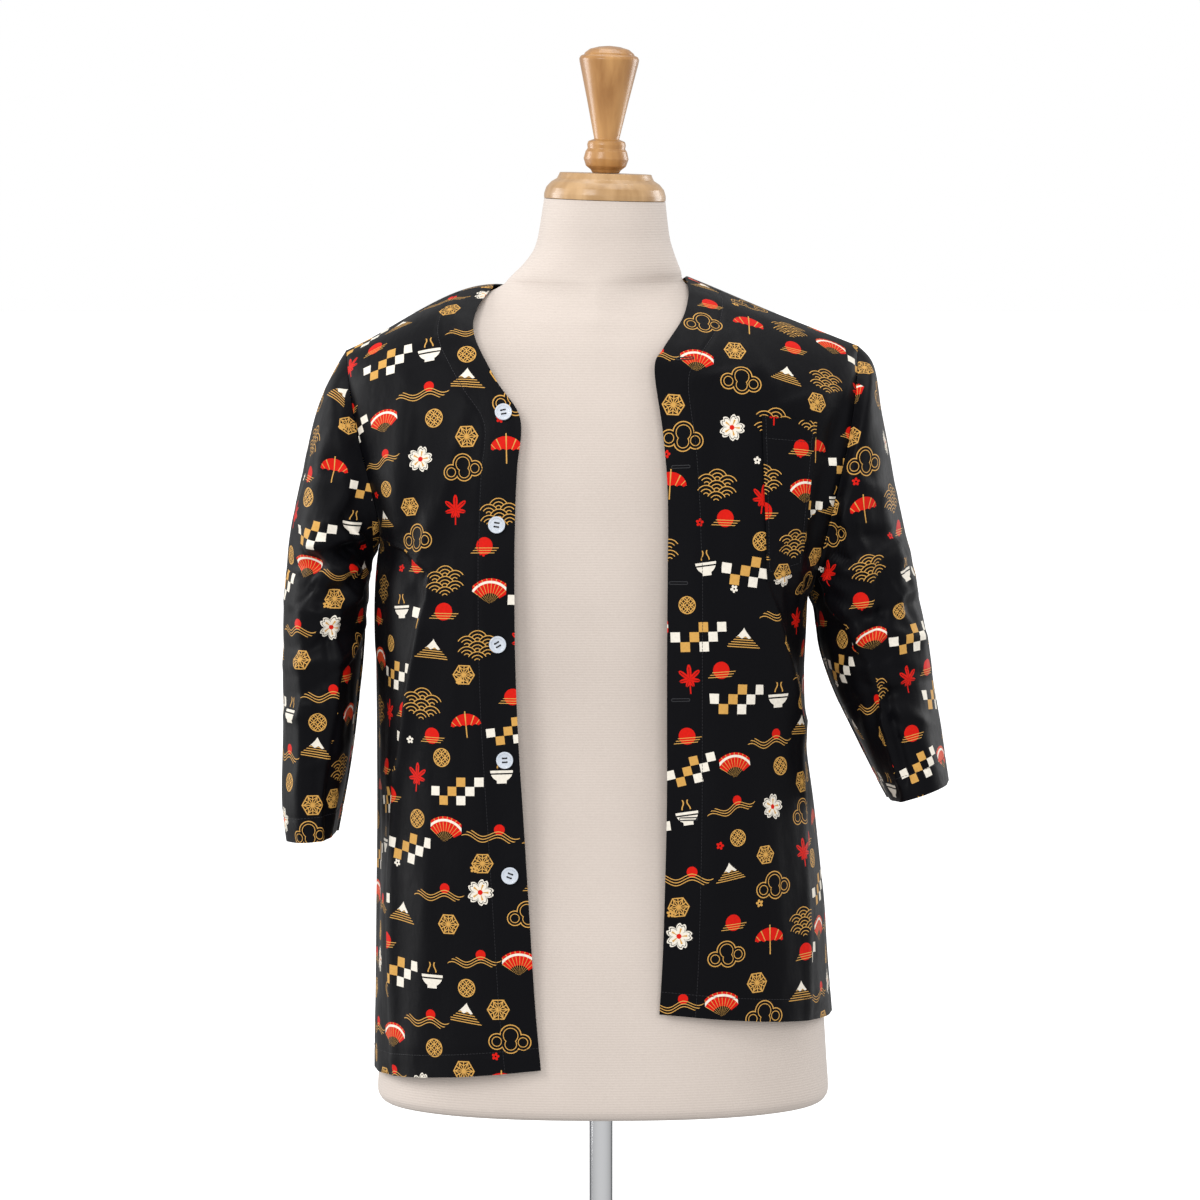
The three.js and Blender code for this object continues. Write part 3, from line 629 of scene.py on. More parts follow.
def quarter(table, part, places, columns):
    """A grid of points: rows from the hem up, columns from the middle to the side."""
    levels = smooth_levels(table, places).T[:, :, None]
    side_x, side_z, front_cut, back_cut = levels[:4]
    turn, rise, squareness = levels[10:]
    if part == "front":
        x, y, z = levels[4:7]
        cut = np.minimum(front_cut, -SEAM_HALF_GAP)
    else:
        x, y, z = (level.copy() for level in levels[7:10])
        over_neck = (places > NECK_LEVEL) & (places < NECK_LEVEL + 1)
        for line, column in ((x, 7), (y, 8), (z, 9)):
            ends = [table[NECK_LEVEL][column], table[NECK_LEVEL + 1][column]]
            line[over_neck, 0] = np.interp(places[over_neck], [NECK_LEVEL, NECK_LEVEL + 1], ends)
        x[places <= NECK_LEVEL] = 0
        cut = np.maximum(back_cut, SEAM_HALF_GAP)
    power, full = 2 / squareness, np.radians(turn)
    angle = full * columns[None, :]
    sideways = bent(np.sin(angle), power) / bent(np.sin(full), power)
    low = bent(np.cos(full), power)
    deep = (bent(np.cos(angle), power) - low) / (1 - low)
    hump = 6.75 * sideways * (1 - sideways) ** 2
    return np.stack([x + (side_x - x) * sideways, cut + (y - cut) * deep,
                     z + (side_z - z) * sideways + rise * hump], axis=-1)


HEM_ROWS, LEVEL_ROWS = 16, 9
FRONT_COLUMNS, SIDE_COLUMNS = 58, 30
row_places = np.concatenate([np.linspace(0, 1, HEM_ROWS + 1)[:-1],
                             np.linspace(1, LEVELS, LEVEL_ROWS * (LEVELS - 1) + 1)])
even = np.linspace(0, 0.9, FRONT_COLUMNS)
column_places = 2 / math.pi * np.arcsin(even ** 1.3)
column_places = np.concatenate([column_places, np.linspace(column_places[-1], 1, SIDE_COLUMNS)[1:]])
print("body grid:", len(row_places), "rows by", len(column_places), "columns")

# %% [markdown]
# ## Folds
# A fold is a line on the cloth with a height and a width. The cloth near it is moved along its own
# normal, by a bell-shaped amount that fades towards both ends, steeper on one side, as gravity
# makes it. Ridges have a positive height and troughs a negative one. A slow noise adds the slight
# unrest that no hanging cloth is without.

# %% Fold helpers
def normals_of(grid, axis_points):
    """Outward normals of a grid, away from the points on its axis."""
    is_round = np.allclose(grid[:, 0], grid[:, -1])
    wide = np.concatenate([grid[:, -2:-1], grid, grid[:, 1:2]], axis=1) if is_round else grid
    across = np.gradient(wide, axis=1)
    across = across[:, 1:-1] if is_round else across
    normals = np.cross(across, np.gradient(grid, axis=0))
    normals /= np.linalg.norm(normals, axis=2, keepdims=True) + 1e-9
    away = np.sum(normals * (grid - axis_points))
    return normals if away > 0 else -normals


def fold_lift(grid, folds):
    """The height of all folds at each point of a grid."""
    x, z = grid[..., 0], grid[..., 2]
    lift = np.zeros(x.shape)
    for from_x, from_z, to_x, to_z, half, height in folds:
        dx, dz = to_x - from_x, to_z - from_z
        long = math.hypot(dx, dz)
        t = ((x - from_x) * dx + (z - from_z) * dz) / long**2
        near = np.clip(t, 0, 1)
        side = ((x - from_x) * dz - (z - from_z) * dx) / long
        distance = np.hypot(x - from_x - near * dx, z - from_z - near * dz)
        width = half * np.where(side > 0, 1.3, 0.75)
        fade = 0.45 + 0.55 * np.sin(math.pi * np.clip(t, 0.06, 0.94))
        lift += height * fade * np.exp(-((distance / width) ** 2))
    return lift


def unrest(grid, height, across, along, seed):
    """Slow outward noise, longer along the fall of the cloth than across it."""
    flat = grid.reshape(-1, 3)
    values = [noise.noise(Vector((x / across + seed, y / across, z / along))) for x, y, z in flat]
    return height * (0.5 + np.array(values)).reshape(grid.shape[:2])


def polyline_x(line, z):
    """The x of a line that runs up or down, at heights z."""
    xs, zs = zip(*sorted(line, key=lambda point: point[1]))
    return np.interp(z, zs, xs)


def axis_of(grid):
    """The points on the body's middle axis, level with those of a grid."""
    axis = grid.copy()
    axis[..., :2] = 0
    return axis


# %% [markdown]
# ## From a grid to a piece of cloth
# Cloth is cut flat and only then sewn round a body, so its print has to be flat too. Each piece is
# first an open surface, which Unwrap flattens like a paper pattern. The flat map is turned so that
# its grain runs up, and scaled to metres. Solidify then gives the sheet its thickness on the
# inside, which leaves the outer face where the pattern puts it.

# %% Cloth pieces
CLOTH_THICKNESS = 0.9


def work_on(piece, mode="OBJECT"):
    """Selects one piece alone and makes it active."""
    bpy.ops.object.select_all(action="DESELECT")
    piece.select_set(True)
    bpy.context.view_layer.objects.active = piece
    bpy.ops.object.mode_set(mode=mode)


def open_cloth(name, grids, pasts, axes, seam_column=None):
    """One open surface from grids in mm, welded where they touch."""
    points, faces, marks, seams = [], [], [], set()
    for grid, past, axis in zip(grids, pasts, axes):
        rows, columns = grid.shape[:2]
        index = np.arange(rows * columns).reshape(rows, columns) + sum(len(p) for p in points)
        quads = np.stack([index[:-1, :-1], index[:-1, 1:], index[1:, 1:], index[1:, :-1]], axis=-1)
        normals = normals_of(grid, axis)
        turned_out = np.cross(grid[1:, 1:] - grid[:-1, :-1], grid[1:, :-1] - grid[:-1, 1:])
        if np.sum(turned_out * normals[:-1, :-1]) < 0:
            quads = quads[..., ::-1]
        points.append(grid.reshape(-1, 3))
        faces.extend(quads.reshape(-1, 4).tolist())
        marks.append(np.full(rows * columns, -1.0) if past is None else past.ravel() * MM)
        if seam_column is not None:
            seams = set(index[:, seam_column].tolist())
    mesh = bpy.data.meshes.new(name)
    mesh.from_pydata(np.concatenate(points) * MM, [], faces)
    past_seam = mesh.attributes.new("past_seam", "FLOAT", "POINT")
    past_seam.data.foreach_set("value", np.concatenate(marks))
    for edge in mesh.edges:
        edge.use_seam = edge.vertices[0] in seams and edge.vertices[1] in seams
    mesh.uv_layers.new(name="cloth")
    piece = bpy.data.objects.new(name, mesh)
    studio.collection.objects.link(piece)
    return piece


def flatten(piece, grain, shift):
    """Unwraps a piece to metres of cloth with its grain upwards."""
    work_on(piece, "EDIT")
    bpy.ops.mesh.select_all(action="SELECT")
    bpy.ops.mesh.remove_doubles(threshold=1e-5)
    bpy.ops.uv.unwrap(method="MINIMUM_STRETCH", iterations=6, fill_holes=False, margin=0.0)
    bpy.ops.object.mode_set(mode="OBJECT")
    mesh = piece.data
    uv = np.zeros(len(mesh.loops) * 2, np.float32)
    mesh.uv_layers["cloth"].data.foreach_get("uv", uv)
    uv = uv.reshape(-1, 4, 2).astype(float)
    corner = np.zeros(len(mesh.loops), np.int32)
    mesh.loops.foreach_get("vertex_index", corner)
    places = np.zeros(len(mesh.vertices) * 3, np.float32)
    mesh.vertices.foreach_get("co", places)
    height = (places.reshape(-1, 3)[corner] @ np.array(grain)).reshape(-1, 4)
    one, two = uv[:, 2] - uv[:, 0], uv[:, 3] - uv[:, 1]
    flat_area = (one[:, 0] * two[:, 1] - one[:, 1] * two[:, 0]).sum() / 2
    real_area = sum(face.area for face in mesh.polygons)
    uv = uv - uv.mean(axis=(0, 1))
    if flat_area < 0:
        uv[..., 0] *= -1
    uv *= math.sqrt(real_area / abs(flat_area))
    rising = (uv * (height - height.mean())[..., None]).sum(axis=(0, 1))
    rising /= np.linalg.norm(rising)
    uv = np.stack([uv @ [rising[1], -rising[0]], uv @ rising], axis=-1) + shift
    mesh.uv_layers["cloth"].data.foreach_set("uv", uv.reshape(-1))
    return real_area


def cloth_piece(name, grids, pasts, axes, grain=(0, 0, 1), shift=(0, 0), seam_column=None,
                thickness=CLOTH_THICKNESS):
    """A closed thin shell of printed cotton."""
    piece = open_cloth(name, grids, pasts, axes, seam_column)
    area = flatten(piece, grain, shift)
    wall = piece.modifiers.new("wall", "SOLIDIFY")
    wall.thickness = thickness * MM
    wall.offset = -1
    bpy.ops.object.modifier_apply(modifier=wall.name)
    piece.data.shade_smooth()
    piece.data.set_sharp_from_angle(angle=math.radians(60))
    piece.data.materials.append(cotton)
    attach(piece, "root")
    print(f"{name}: {len(piece.data.polygons)} faces, {area:.4f} square metres of cloth")
    return piece


def cut_size(*grids):
    """The widest row, the longest line up the cloth and the area of grids side by side."""
    width, longest, area = 0.0, 0.0, 0.0
    for grid in grids:
        width += np.linalg.norm(np.diff(grid, axis=1), axis=2).sum(axis=1).max()
        longest = max(longest, np.linalg.norm(np.diff(grid, axis=0), axis=2).sum(axis=0).max())
        one, two = grid[1:, 1:] - grid[:-1, :-1], grid[1:, :-1] - grid[:-1, 1:]
        area += np.linalg.norm(np.cross(one, two), axis=2).sum() / 2
    return f"{width * MM:.3f} by {longest * MM:.3f} m, {area * MM**2:.4f} square metres"


# %% [markdown]
# ## The two fronts
# The fronts hang open. Each has a long soft fold from the armhole down to the side of the hem,
# where the loose width of the shirt drops away from the form, and the print jumps there. The edge
# is turned in and stitched 32 mm from the fold, which leaves a shallow groove.

# %% Fronts
RIGHT_FRONT_FOLDS = [
    [-150, 1165, -184, 1000, 13, 5], [-184, 1000, -187, 745, 10, 5],
    [-120, 1330, -152, 1190, 12, 3.6], [-168, 1345, -176, 1225, 10, 4],
    [-196, 1090, -200, 800, 10, -3], [-150, 985, -162, 760, 13, 3],
    [-110, 1120, -104, 830, 16, 2.2], [-172, 1188, -150, 1150, 8, -3],
    [-142, 1240, -168, 1170, 7, 2.6], [-186, 1374, -126, 1392, 4, 0.9],
    [-182, 1366, -120, 1382, 4, -0.9], [-176, 1357, -118, 1372, 4, 0.8],
    [-128, 1180, -132, 960, 9, 1.6],
]
LEFT_FRONT_FOLDS = [
    [204, 1300, 186, 1200, 10, -5], [150, 1140, 178, 1040, 12, 6], [178, 1040, 190, 800, 12, 5],
    [120, 1390, 150, 1345, 11, 2.8], [150, 1325, 198, 1338, 7, 2.6],
    [100, 1110, 108, 860, 17, 2.4], [152, 960, 160, 820, 12, 3.2], [165, 1160, 176, 1090, 7, -3],
    [158, 1200, 160, 1130, 7, 2.8], [186, 1262, 170, 1150, 8, 3.4],
    [214, 1326, 204, 1282, 6, -3.6], [84, 1300, 92, 1180, 13, 1.6], [78, 1352, 140, 1360, 6, 1.2],
]
RIGHT_FRONT_SEAM = [
    (-200, 1212), (-172, 1200), (-150.3, 1180.7), (-167, 1092.8), (-175.8, 1032), (-182.8, 996),
    (-184.6, 948), (-185.5, 745),
]
LEFT_FRONT_SEAM = [
    (206, 1240), (175, 1225), (152, 1200), (145.9, 1172), (154.7, 1144.6), (162.6, 1113.9),
    (167, 1089), (171.4, 1064.6), (175.8, 1039), (178, 983), (186, 780),
]
FACING_WIDTH = 32.0
HEM_DEPTH = 20.0
NOT_PAST = -50
# height, length across and length along the fall of the cloth's slow unrest, in mm
FRONT_UNREST = (2.4, 34, 120)
CALM_LEVEL, CALM_FADE = 1400, 120


def groove(distance, place, depth=0.55, half=1.8):
    """A shallow valley that a row of stitches pulls into the cloth."""
    return -depth * np.exp(-(((distance - place) / half) ** 2))


def seam_step(past):
    """A rolled edge along a seam, and the cloth a little lower beyond it."""
    return 1.4 * np.exp(-(((past + 2.5) / 2.6) ** 2)) - 1.5 * np.clip(past / 3, 0, 1)


def from_edges(grid):
    """Distances from the inner edge along the rows, and from the hem along the columns."""
    across = np.linalg.norm(np.diff(grid, axis=1), axis=2)
    along = np.linalg.norm(np.diff(grid, axis=0), axis=2)
    return (np.concatenate([np.zeros((len(grid), 1)), np.cumsum(across, axis=1)], axis=1),
            np.concatenate([np.zeros((1, grid.shape[1])), np.cumsum(along, axis=0)], axis=0))


def held_edge(columns):
    """0 on the sewn side and shoulder of a panel, rising to 1 within a twelfth of its width."""
    t = np.clip((1 - columns) * 11, 0, 1)[None, :]
    up = np.clip((LEVELS - row_places) * 0.9, 0, 1)[:, None]
    return t * t * (3 - 2 * t) * up * up * (3 - 2 * up)


def draped(table, part, folds, slow, seed):
    """A plain panel of the body, its normals, and the height of its folds. Shoulders lie calm."""
    plain = quarter(table, part, row_places, column_places)
    calm = np.clip((CALM_LEVEL - plain[..., 2]) / CALM_FADE, 0.12, 1)
    lift = fold_lift(plain, folds) + unrest(plain, *slow, seed) * calm
    return plain, normals_of(plain, axis_of(plain)), lift * held_edge(column_places)


def front_grid(table, folds, seam, side, seed):
    """One front: its points, its normals, and how far each point lies past the print's seam."""
    plain, normals, lift = draped(table, "front", folds, FRONT_UNREST, seed)
    across, along = from_edges(plain)
    past = side * (plain[..., 0] - polyline_x(seam, plain[..., 2]))
    past = np.where(plain[..., 2] < seam[0][1], past, NOT_PAST)
    lift = lift + seam_step(past) * held_edge(column_places)
    lift = lift + groove(across, FACING_WIDTH) + groove(along, HEM_DEPTH)
    grid = plain + normals * lift[..., None]
    return grid, normals_of(grid, axis_of(grid)), past


right_grid, right_normals, right_past = front_grid(
    RIGHT_BODY, RIGHT_FRONT_FOLDS, RIGHT_FRONT_SEAM, side=-1, seed=3.1)
left_grid, left_normals, left_past = front_grid(
    LEFT_BODY, LEFT_FRONT_FOLDS, LEFT_FRONT_SEAM, side=1, seed=8.4)
front_right = cloth_piece("front_right_cloth", [right_grid], [right_past], [axis_of(right_grid)])
front_left = cloth_piece("front_left_cloth", [left_grid], [left_past], [axis_of(left_grid)],
                         shift=(0.171, 0.034))
print("cut of the right front:", cut_size(right_grid))
print("cut of the left front:", cut_size(left_grid))

# %% [markdown]
# ## The back
# The back is one piece of cloth. Its halves are two grids that share the points of the middle line
# below the neck, where they are welded, and part above it to leave the neckline open.

# %% Back
BACK_FOLDS = [
    [-150, 1290, -165, 860, 20, 4], [-60, 1330, -75, 800, 24, 4], [70, 1330, 90, 820, 24, 4],
    [150, 1270, 170, 860, 20, 4], [-110, 1180, -118, 800, 18, 2.4], [4, 1240, 10, 860, 26, 2.2],
    [122, 1120, 132, 830, 16, 2.4], [-185, 1240, -120, 1262, 12, 2.5],
    [180, 1215, 118, 1250, 12, 2.5],
]
BACK_UNREST, BACK_SEED = (2.6, 38, 140), 5.5


def back_half(table):
    plain, normals, lift = draped(table, "back", BACK_FOLDS, BACK_UNREST, BACK_SEED)
    lift = lift + groove(from_edges(plain)[1], HEM_DEPTH)
    return plain + normals * lift[..., None]


right_back, left_back = back_half(RIGHT_BODY), back_half(LEFT_BODY)
neck_row = int(np.searchsorted(row_places, NECK_LEVEL - 1e-6))
below_neck = slice(neck_row + 1)
middle = (right_back[below_neck, :1] + left_back[below_neck, :1]) / 2
right_back[below_neck, :1] = middle
left_back[below_neck, :1] = middle
back = cloth_piece("back_cloth", [right_back, left_back], [None, None],
                   [axis_of(right_back), axis_of(left_back)], shift=(0.063, 0.09))
print("the back, its longest line taken up the middle and along the neck:",
      cut_size(right_back, left_back))

# %% [markdown]
# ## Sleeves
# A set-in sleeve starts at the armhole, the ring where the front and back end, and runs down as a
# flattened tube. Its first ring is taken from the fronts and back themselves, so it meets them all
# the way round. Deep folds run out from the underarm, where the empty sleeve gathers.

# %% Sleeves
# outer x, outer z, inner x, inner z, depth, forward, squareness
RIGHT_SLEEVE = [
    [-243, 1348, -204.5, 1184, 82, 0, 2.1], [-258, 1312, -207, 1173, 83, 0, 2.1],
    [-270, 1258, -209, 1160, 81, 1, 2.1], [-280, 1206, -210, 1142, 78, 2, 2.1],
    [-285, 1150, -212, 1112, 75, 4, 2.2], [-286, 1085, -216, 1070, 72, 6, 2.2],
    [-286.5, 1020, -223, 1012, 69, 8, 2.2], [-287, 970, -231, 966, 67, 9, 2.2],
    [-284, 935, -236, 940, 66, 10, 2.2],
]
LEFT_SLEEVE = [
    [245, 1359, 190, 1143, 82, 0, 2.1], [253, 1314, 191.5, 1135, 83, 0, 2.1],
    [263, 1256, 193, 1122, 81, 1, 2.1], [274, 1209, 196.5, 1102, 78, 3, 2.1],
    [285, 1158, 204.5, 1078, 75, 6, 2.2], [294, 1110, 215, 1053, 72, 9, 2.2],
    [302, 1058, 229, 1025, 69, 12, 2.2], [308, 1022, 243, 997, 67, 14, 2.2],
    [313, 989, 257, 970, 66, 16, 2.2],
]
RIGHT_SLEEVE_FOLDS = [
    [-210, 1200, -268, 1180, 9, -9], [-214, 1150, -264, 1222, 8, 6.5],
    [-218, 1125, -272, 1108, 9, -6], [-204, 1212, -258, 1200, 6, 6.5],
    [-206, 1184, -250, 1150, 6, -6], [-265, 1140, -268, 950, 5, 3],
    [-250, 1100, -254, 960, 5, -2.4], [-216, 1262, -246, 1214, 7, 4],
    [-214, 1280, -262, 1262, 8, -3], [-262, 1062, -232, 1052, 4, 2.2],
    [-228, 1020, -258, 1004, 5, 2], [-208, 1176, -240, 1186, 4, 3.6],
    [-212, 1168, -236, 1136, 4, 3.2], [-216, 1160, -256, 1166, 4, -3],
    [-244, 1206, -270, 1190, 4, 2.8], [-246, 1196, -268, 1160, 4, -2.6],
    [-222, 1112, -246, 1088, 5, 3], [-240, 1060, -246, 950, 8, -2.6],
    [-228, 1330, -262, 1240, 11, 2.5], [-214, 1170, -262, 1205, 7, 3.2],
    [-246, 1082, -280, 1058, 8, -3.4], [-250, 1330, -276, 1230, 8, -2.8],
    [-236, 1140, -282, 1150, 7, 3.4], [-232, 1102, -284, 1092, 6, 3.0],
    [-256, 1052, -284, 1046, 5, 1.6], [-242, 1224, -208, 1206, 3.6, 3.4],
    [-240, 1212, -206, 1190, 3.4, -3.2], [-236, 1196, -214, 1178, 3.4, 3.2],
    [-226, 1228, -213, 1180, 3.4, -3], [-232, 1180, -221, 1148, 3.4, 3.2],
    [-234, 1148, -235, 1066, 3.4, 2.8], [-241, 1140, -243, 1080, 3.4, -2.2],
    [-266, 1064, -214, 1058, 3.2, 1.8], [-252, 1172, -274, 1140, 3.6, -2.8],
    [-248, 1128, -262, 1112, 3.4, 2.4],
]
LEFT_SLEEVE_FOLDS = [
    [206, 1130, 276, 1150, 9, -8], [216, 1090, 280, 1172, 8, 6], [228, 1060, 288, 1080, 9, -6],
    [200, 1172, 260, 1202, 6, 6], [202, 1215, 266, 1212, 7, -5.5], [240, 1096, 265, 994, 5, 5],
    [250, 1086, 272, 996, 5, -5], [261, 1214, 267, 1160, 4, 2.6], [237, 1134, 242, 1080, 4, 3],
    [226, 1318, 214, 1270, 6, -4], [222, 1262, 262, 1244, 8, 3], [246, 1066, 262, 1060, 4, 2.4],
    [252, 1044, 272, 1036, 4, 2.2], [214, 1150, 236, 1120, 5, 3.4],
    [232, 1370, 224, 1336, 5, -3.2], [222, 1110, 250, 1124, 4, 3.4], [228, 1092, 256, 1098, 4, 3],
    [232, 1080, 262, 1074, 4, -2.8], [206, 1190, 232, 1176, 5, 3.4],
    [240, 1330, 268, 1230, 11, 2.6], [228, 1300, 250, 1220, 9, -2.6],
    [268, 1190, 296, 1080, 9, 3.4], [212, 1245, 240, 1180, 8, 3.8], [226, 1172, 284, 1196, 7, 3.2],
    [248, 1128, 292, 1118, 6, 3.0], [262, 1062, 300, 1040, 6, 2.2],
    [200, 1200, 226, 1186, 3.6, -3.2], [196, 1176, 228, 1160, 3.4, 3.2],
    [204, 1160, 234, 1140, 3.4, -3], [214, 1240, 222, 1198, 3.4, 2.8],
    [236, 1188, 246, 1110, 3.4, 2.8], [246, 1180, 256, 1104, 3.4, -2.4],
    [226, 1122, 264, 1112, 3.4, 2.8], [240, 1064, 286, 1046, 3.4, 2],
    [250, 1100, 282, 1090, 3.4, -2], [256, 1168, 276, 1128, 3.6, 2.6],
]
RIGHT_SLEEVE_SEAM = [
    (-203, 1140), (-222, 1100), (-234, 1088), (-236, 1058), (-242, 1007), (-246.5, 978),
    (-248.3, 940),
]
LEFT_SLEEVE_SEAM = [(200, 1150), (228, 1112), (243, 1096), (249.2, 1044), (258.1, 1018), (268, 980)]
SLEEVE_HEM_DEPTH = 22.0
SLEEVE_ROWS = 18
SLEEVE_UNREST = (3.0, 25, 58)
ARMHOLE_GAP = 0.45
SEAM_IN_FRONT_OF = -8
ring_rows = [i for i, place in enumerate(row_places) if place > UNDERARM_LEVEL - 1e-6]


def sleeve_grid(front, half, table, folds, seam, side, seed):
    """One sleeve from its armhole down: its points, normals and the way past the print's seam."""
    down_front = front[ring_rows[::-1], -1]
    up_back = half[ring_rows[1:], -1]
    ring = np.concatenate([down_front, up_back]) + [side * ARMHOLE_GAP, 0, 0]
    ring[-1] = ring[0]
    steps = np.linalg.norm(np.diff(ring, axis=0), axis=1)
    around = np.concatenate([[0], np.cumsum(steps)]) / steps.sum() * FULL_TURN
    control = [ring.reshape(-1)]
    for outer_x, outer_z, inner_x, inner_z, depth, forward, squareness in table:
        outwards = bent(np.cos(around), 2 / squareness)
        forwards = bent(np.sin(around), 2 / squareness)
        middle_x, middle_z = (outer_x + inner_x) / 2, (outer_z + inner_z) / 2
        control.append(np.stack([middle_x + (outer_x - middle_x) * outwards,
                                 -forward - depth * forwards,
                                 middle_z + (outer_z - middle_z) * outwards], axis=1).reshape(-1))
    places = np.linspace(0, len(table), SLEEVE_ROWS * len(table) + 1)
    plain = smooth_levels(control, places).reshape(len(places), -1, 3)
    plain[:, -1] = plain[:, 0]
    normals = normals_of(plain, plain[:, :-1].mean(axis=1, keepdims=True) + plain * 0)
    hold = np.clip(places - 0.4, 0, 1)[:, None]
    # folds fade towards the outer and inner edge of the sleeve, which keeps its outline
    hush = 1 - 0.75 * np.clip(np.abs(np.cos(around)) * 5 - 4, 0, 1)[None, :]
    lift = ((fold_lift(plain, folds) + unrest(plain, *SLEEVE_UNREST, seed)) * hush - 0.8) * hold
    from_cuff = from_edges(plain[::-1])[1][::-1]
    lift = lift + groove(from_cuff, SLEEVE_HEM_DEPTH)
    past = -side * (plain[..., 0] - polyline_x(seam, plain[..., 2]))
    past = np.where(plain[..., 1] < SEAM_IN_FRONT_OF, past, NOT_PAST)
    lift = lift + seam_step(past) * hold
    grid = plain + normals * lift[..., None]
    grid[:, -1] = grid[:, 0]
    middle = grid[:, :-1].mean(axis=1, keepdims=True) + grid * 0
    return grid, normals_of(grid, middle), past


sleeves = []
for name, front, half, table, folds, seam, side, seed in (
        ("sleeve_right_cloth", right_grid, right_back,
         RIGHT_SLEEVE, RIGHT_SLEEVE_FOLDS, RIGHT_SLEEVE_SEAM, -1, 12.7),
        ("sleeve_left_cloth", left_grid, left_back,
         LEFT_SLEEVE, LEFT_SLEEVE_FOLDS, LEFT_SLEEVE_SEAM, 1, 17.2)):
    grid, normals, past = sleeve_grid(front, half, table, folds, seam, side, seed)
    armhole, cuff = grid[0, :-1].mean(axis=0), grid[-1, :-1].mean(axis=0)
    grain = (armhole - cuff) / np.linalg.norm(armhole - cuff)
    middle = grid[:, :-1].mean(axis=1, keepdims=True) + grid * 0
    piece = cloth_piece(name, [grid], [past], [middle], grain,
                        shift=(seed * 0.01, 0.05), seam_column=len(ring_rows) - 1)
    sleeves.append((piece, grid, normals))
    print("cut of", name + ":", cut_size(grid))

# %% [markdown]
# ## The chest pocket
# A patch pocket is a folded piece of the same cloth, sewn on by three sides. Its print doesn't
# match the front under it. It is laid on the front by dropping a line onto the cloth from each of
# its points, as a hand smooths it down.

# %% Pocket
POCKET_LIFT = 0.75
POCKET_THICKNESS = 1.1
POCKET_LENGTH, MOUTH_BAND = 146, 126
# inner z and x, outer z and x
POCKET_MOUTH = (1320.0, 141.0, 1313.0, 190.0)
POCKET_FOOT = (1174.0, 146.0, 1182.0, 176.0)


def tree_of(piece):
    """A piece's faces, ready to be met by lines."""
    return BVHTree.FromPolygons([v.co for v in piece.data.vertices],
                                [tuple(p.vertices) for p in piece.data.polygons])


left_tree, right_tree = tree_of(front_left), tree_of(front_right)


def on_front(tree, x, z):
    """The point and outward normal of the front at a place seen from the front, in mm."""
    hit, normal, _, _ = tree.ray_cast(Vector((x * MM, -1, z * MM)), Vector((0, 1, 0)))
    return np.array(hit) / MM, np.array(normal if normal.y < 0 else -normal)


def pocket_grid():
    """The pocket's points, laid on the left front, and their normals."""
    rows, columns = 52, 30
    points = np.zeros((rows, columns, 3))
    normals = np.zeros((rows, columns, 3))
    for i, up in enumerate(np.linspace(0, 1, rows)):
        near_z, near_x, far_z, far_x = (foot + (mouth - foot) * up
                                        for foot, mouth in zip(POCKET_FOOT, POCKET_MOUTH))
        for j, out_way in enumerate(np.linspace(0, 1, columns)):
            x = near_x + (far_x - near_x) * out_way
            z = near_z + (far_z - near_z) * out_way
            points[i, j], normals[i, j] = on_front(left_tree, x, z)
    for _ in range(3):
        normals[1:-1, 1:-1] = (normals[:-2, 1:-1] + normals[2:, 1:-1]
                               + normals[1:-1, :-2] + normals[1:-1, 2:]) / 4
    normals /= np.linalg.norm(normals, axis=2, keepdims=True)
    across = np.linspace(0, 1, columns)[None, :]
    up = np.linspace(0, 1, rows)[:, None]
    belly = 1.3 * np.sin(math.pi * across) * np.clip(up * 1.4, 0, 1)
    mouth_band = groove(up * POCKET_LENGTH, MOUTH_BAND, 0.4)
    lift = POCKET_LIFT + POCKET_THICKNESS + belly + mouth_band
    return points + normals * lift[..., None], normals


pocket_points, pocket_normals = pocket_grid()
pocket = cloth_piece("pocket_cloth", [pocket_points], [None], [axis_of(pocket_points)],
                     shift=(0.05, 0.021), thickness=POCKET_THICKNESS)
print("cut of the pocket:", cut_size(pocket_points))

# %% [markdown]
# ## Stitching
# Each stitch is a short rod of thread that dips into the cloth at both ends. One is shaped as by
# hand, from a small cylinder with pinched ends. It is copied along the line that the seam follows,
# three millimetres apart.

# %% Stitches
def one_stitch():
    """A pinched rod along X, a millimetre long and thick, made once."""
    bpy.ops.mesh.primitive_cylinder_add(vertices=6, radius=0.5, depth=1,
                                        rotation=(0, math.pi / 2, 0))
    rod = bpy.context.object
    bpy.ops.object.transform_apply(location=True, rotation=True, scale=True)
    bpy.ops.object.mode_set(mode="EDIT")
    bpy.ops.mesh.select_all(action="SELECT")
    bpy.ops.mesh.bevel(offset=0.22, segments=1, affect="EDGES")
    bpy.ops.object.mode_set(mode="OBJECT")
    points = np.array([v.co for v in rod.data.vertices])
    faces = [list(p.vertices) for p in rod.data.polygons]
    bpy.data.objects.remove(rod)
    return points, faces


STITCH_POINTS, STITCH_FACES = one_stitch()
STITCH_STEP, STITCH_LENGTH, THREAD_WIDTH = 3.0, 2.3, 0.55


def at_distance(distance, along, values):
    """The value that a line of points has at a distance along it."""
    return np.array([np.interp(distance, along, values[:, k]) for k in range(3)])


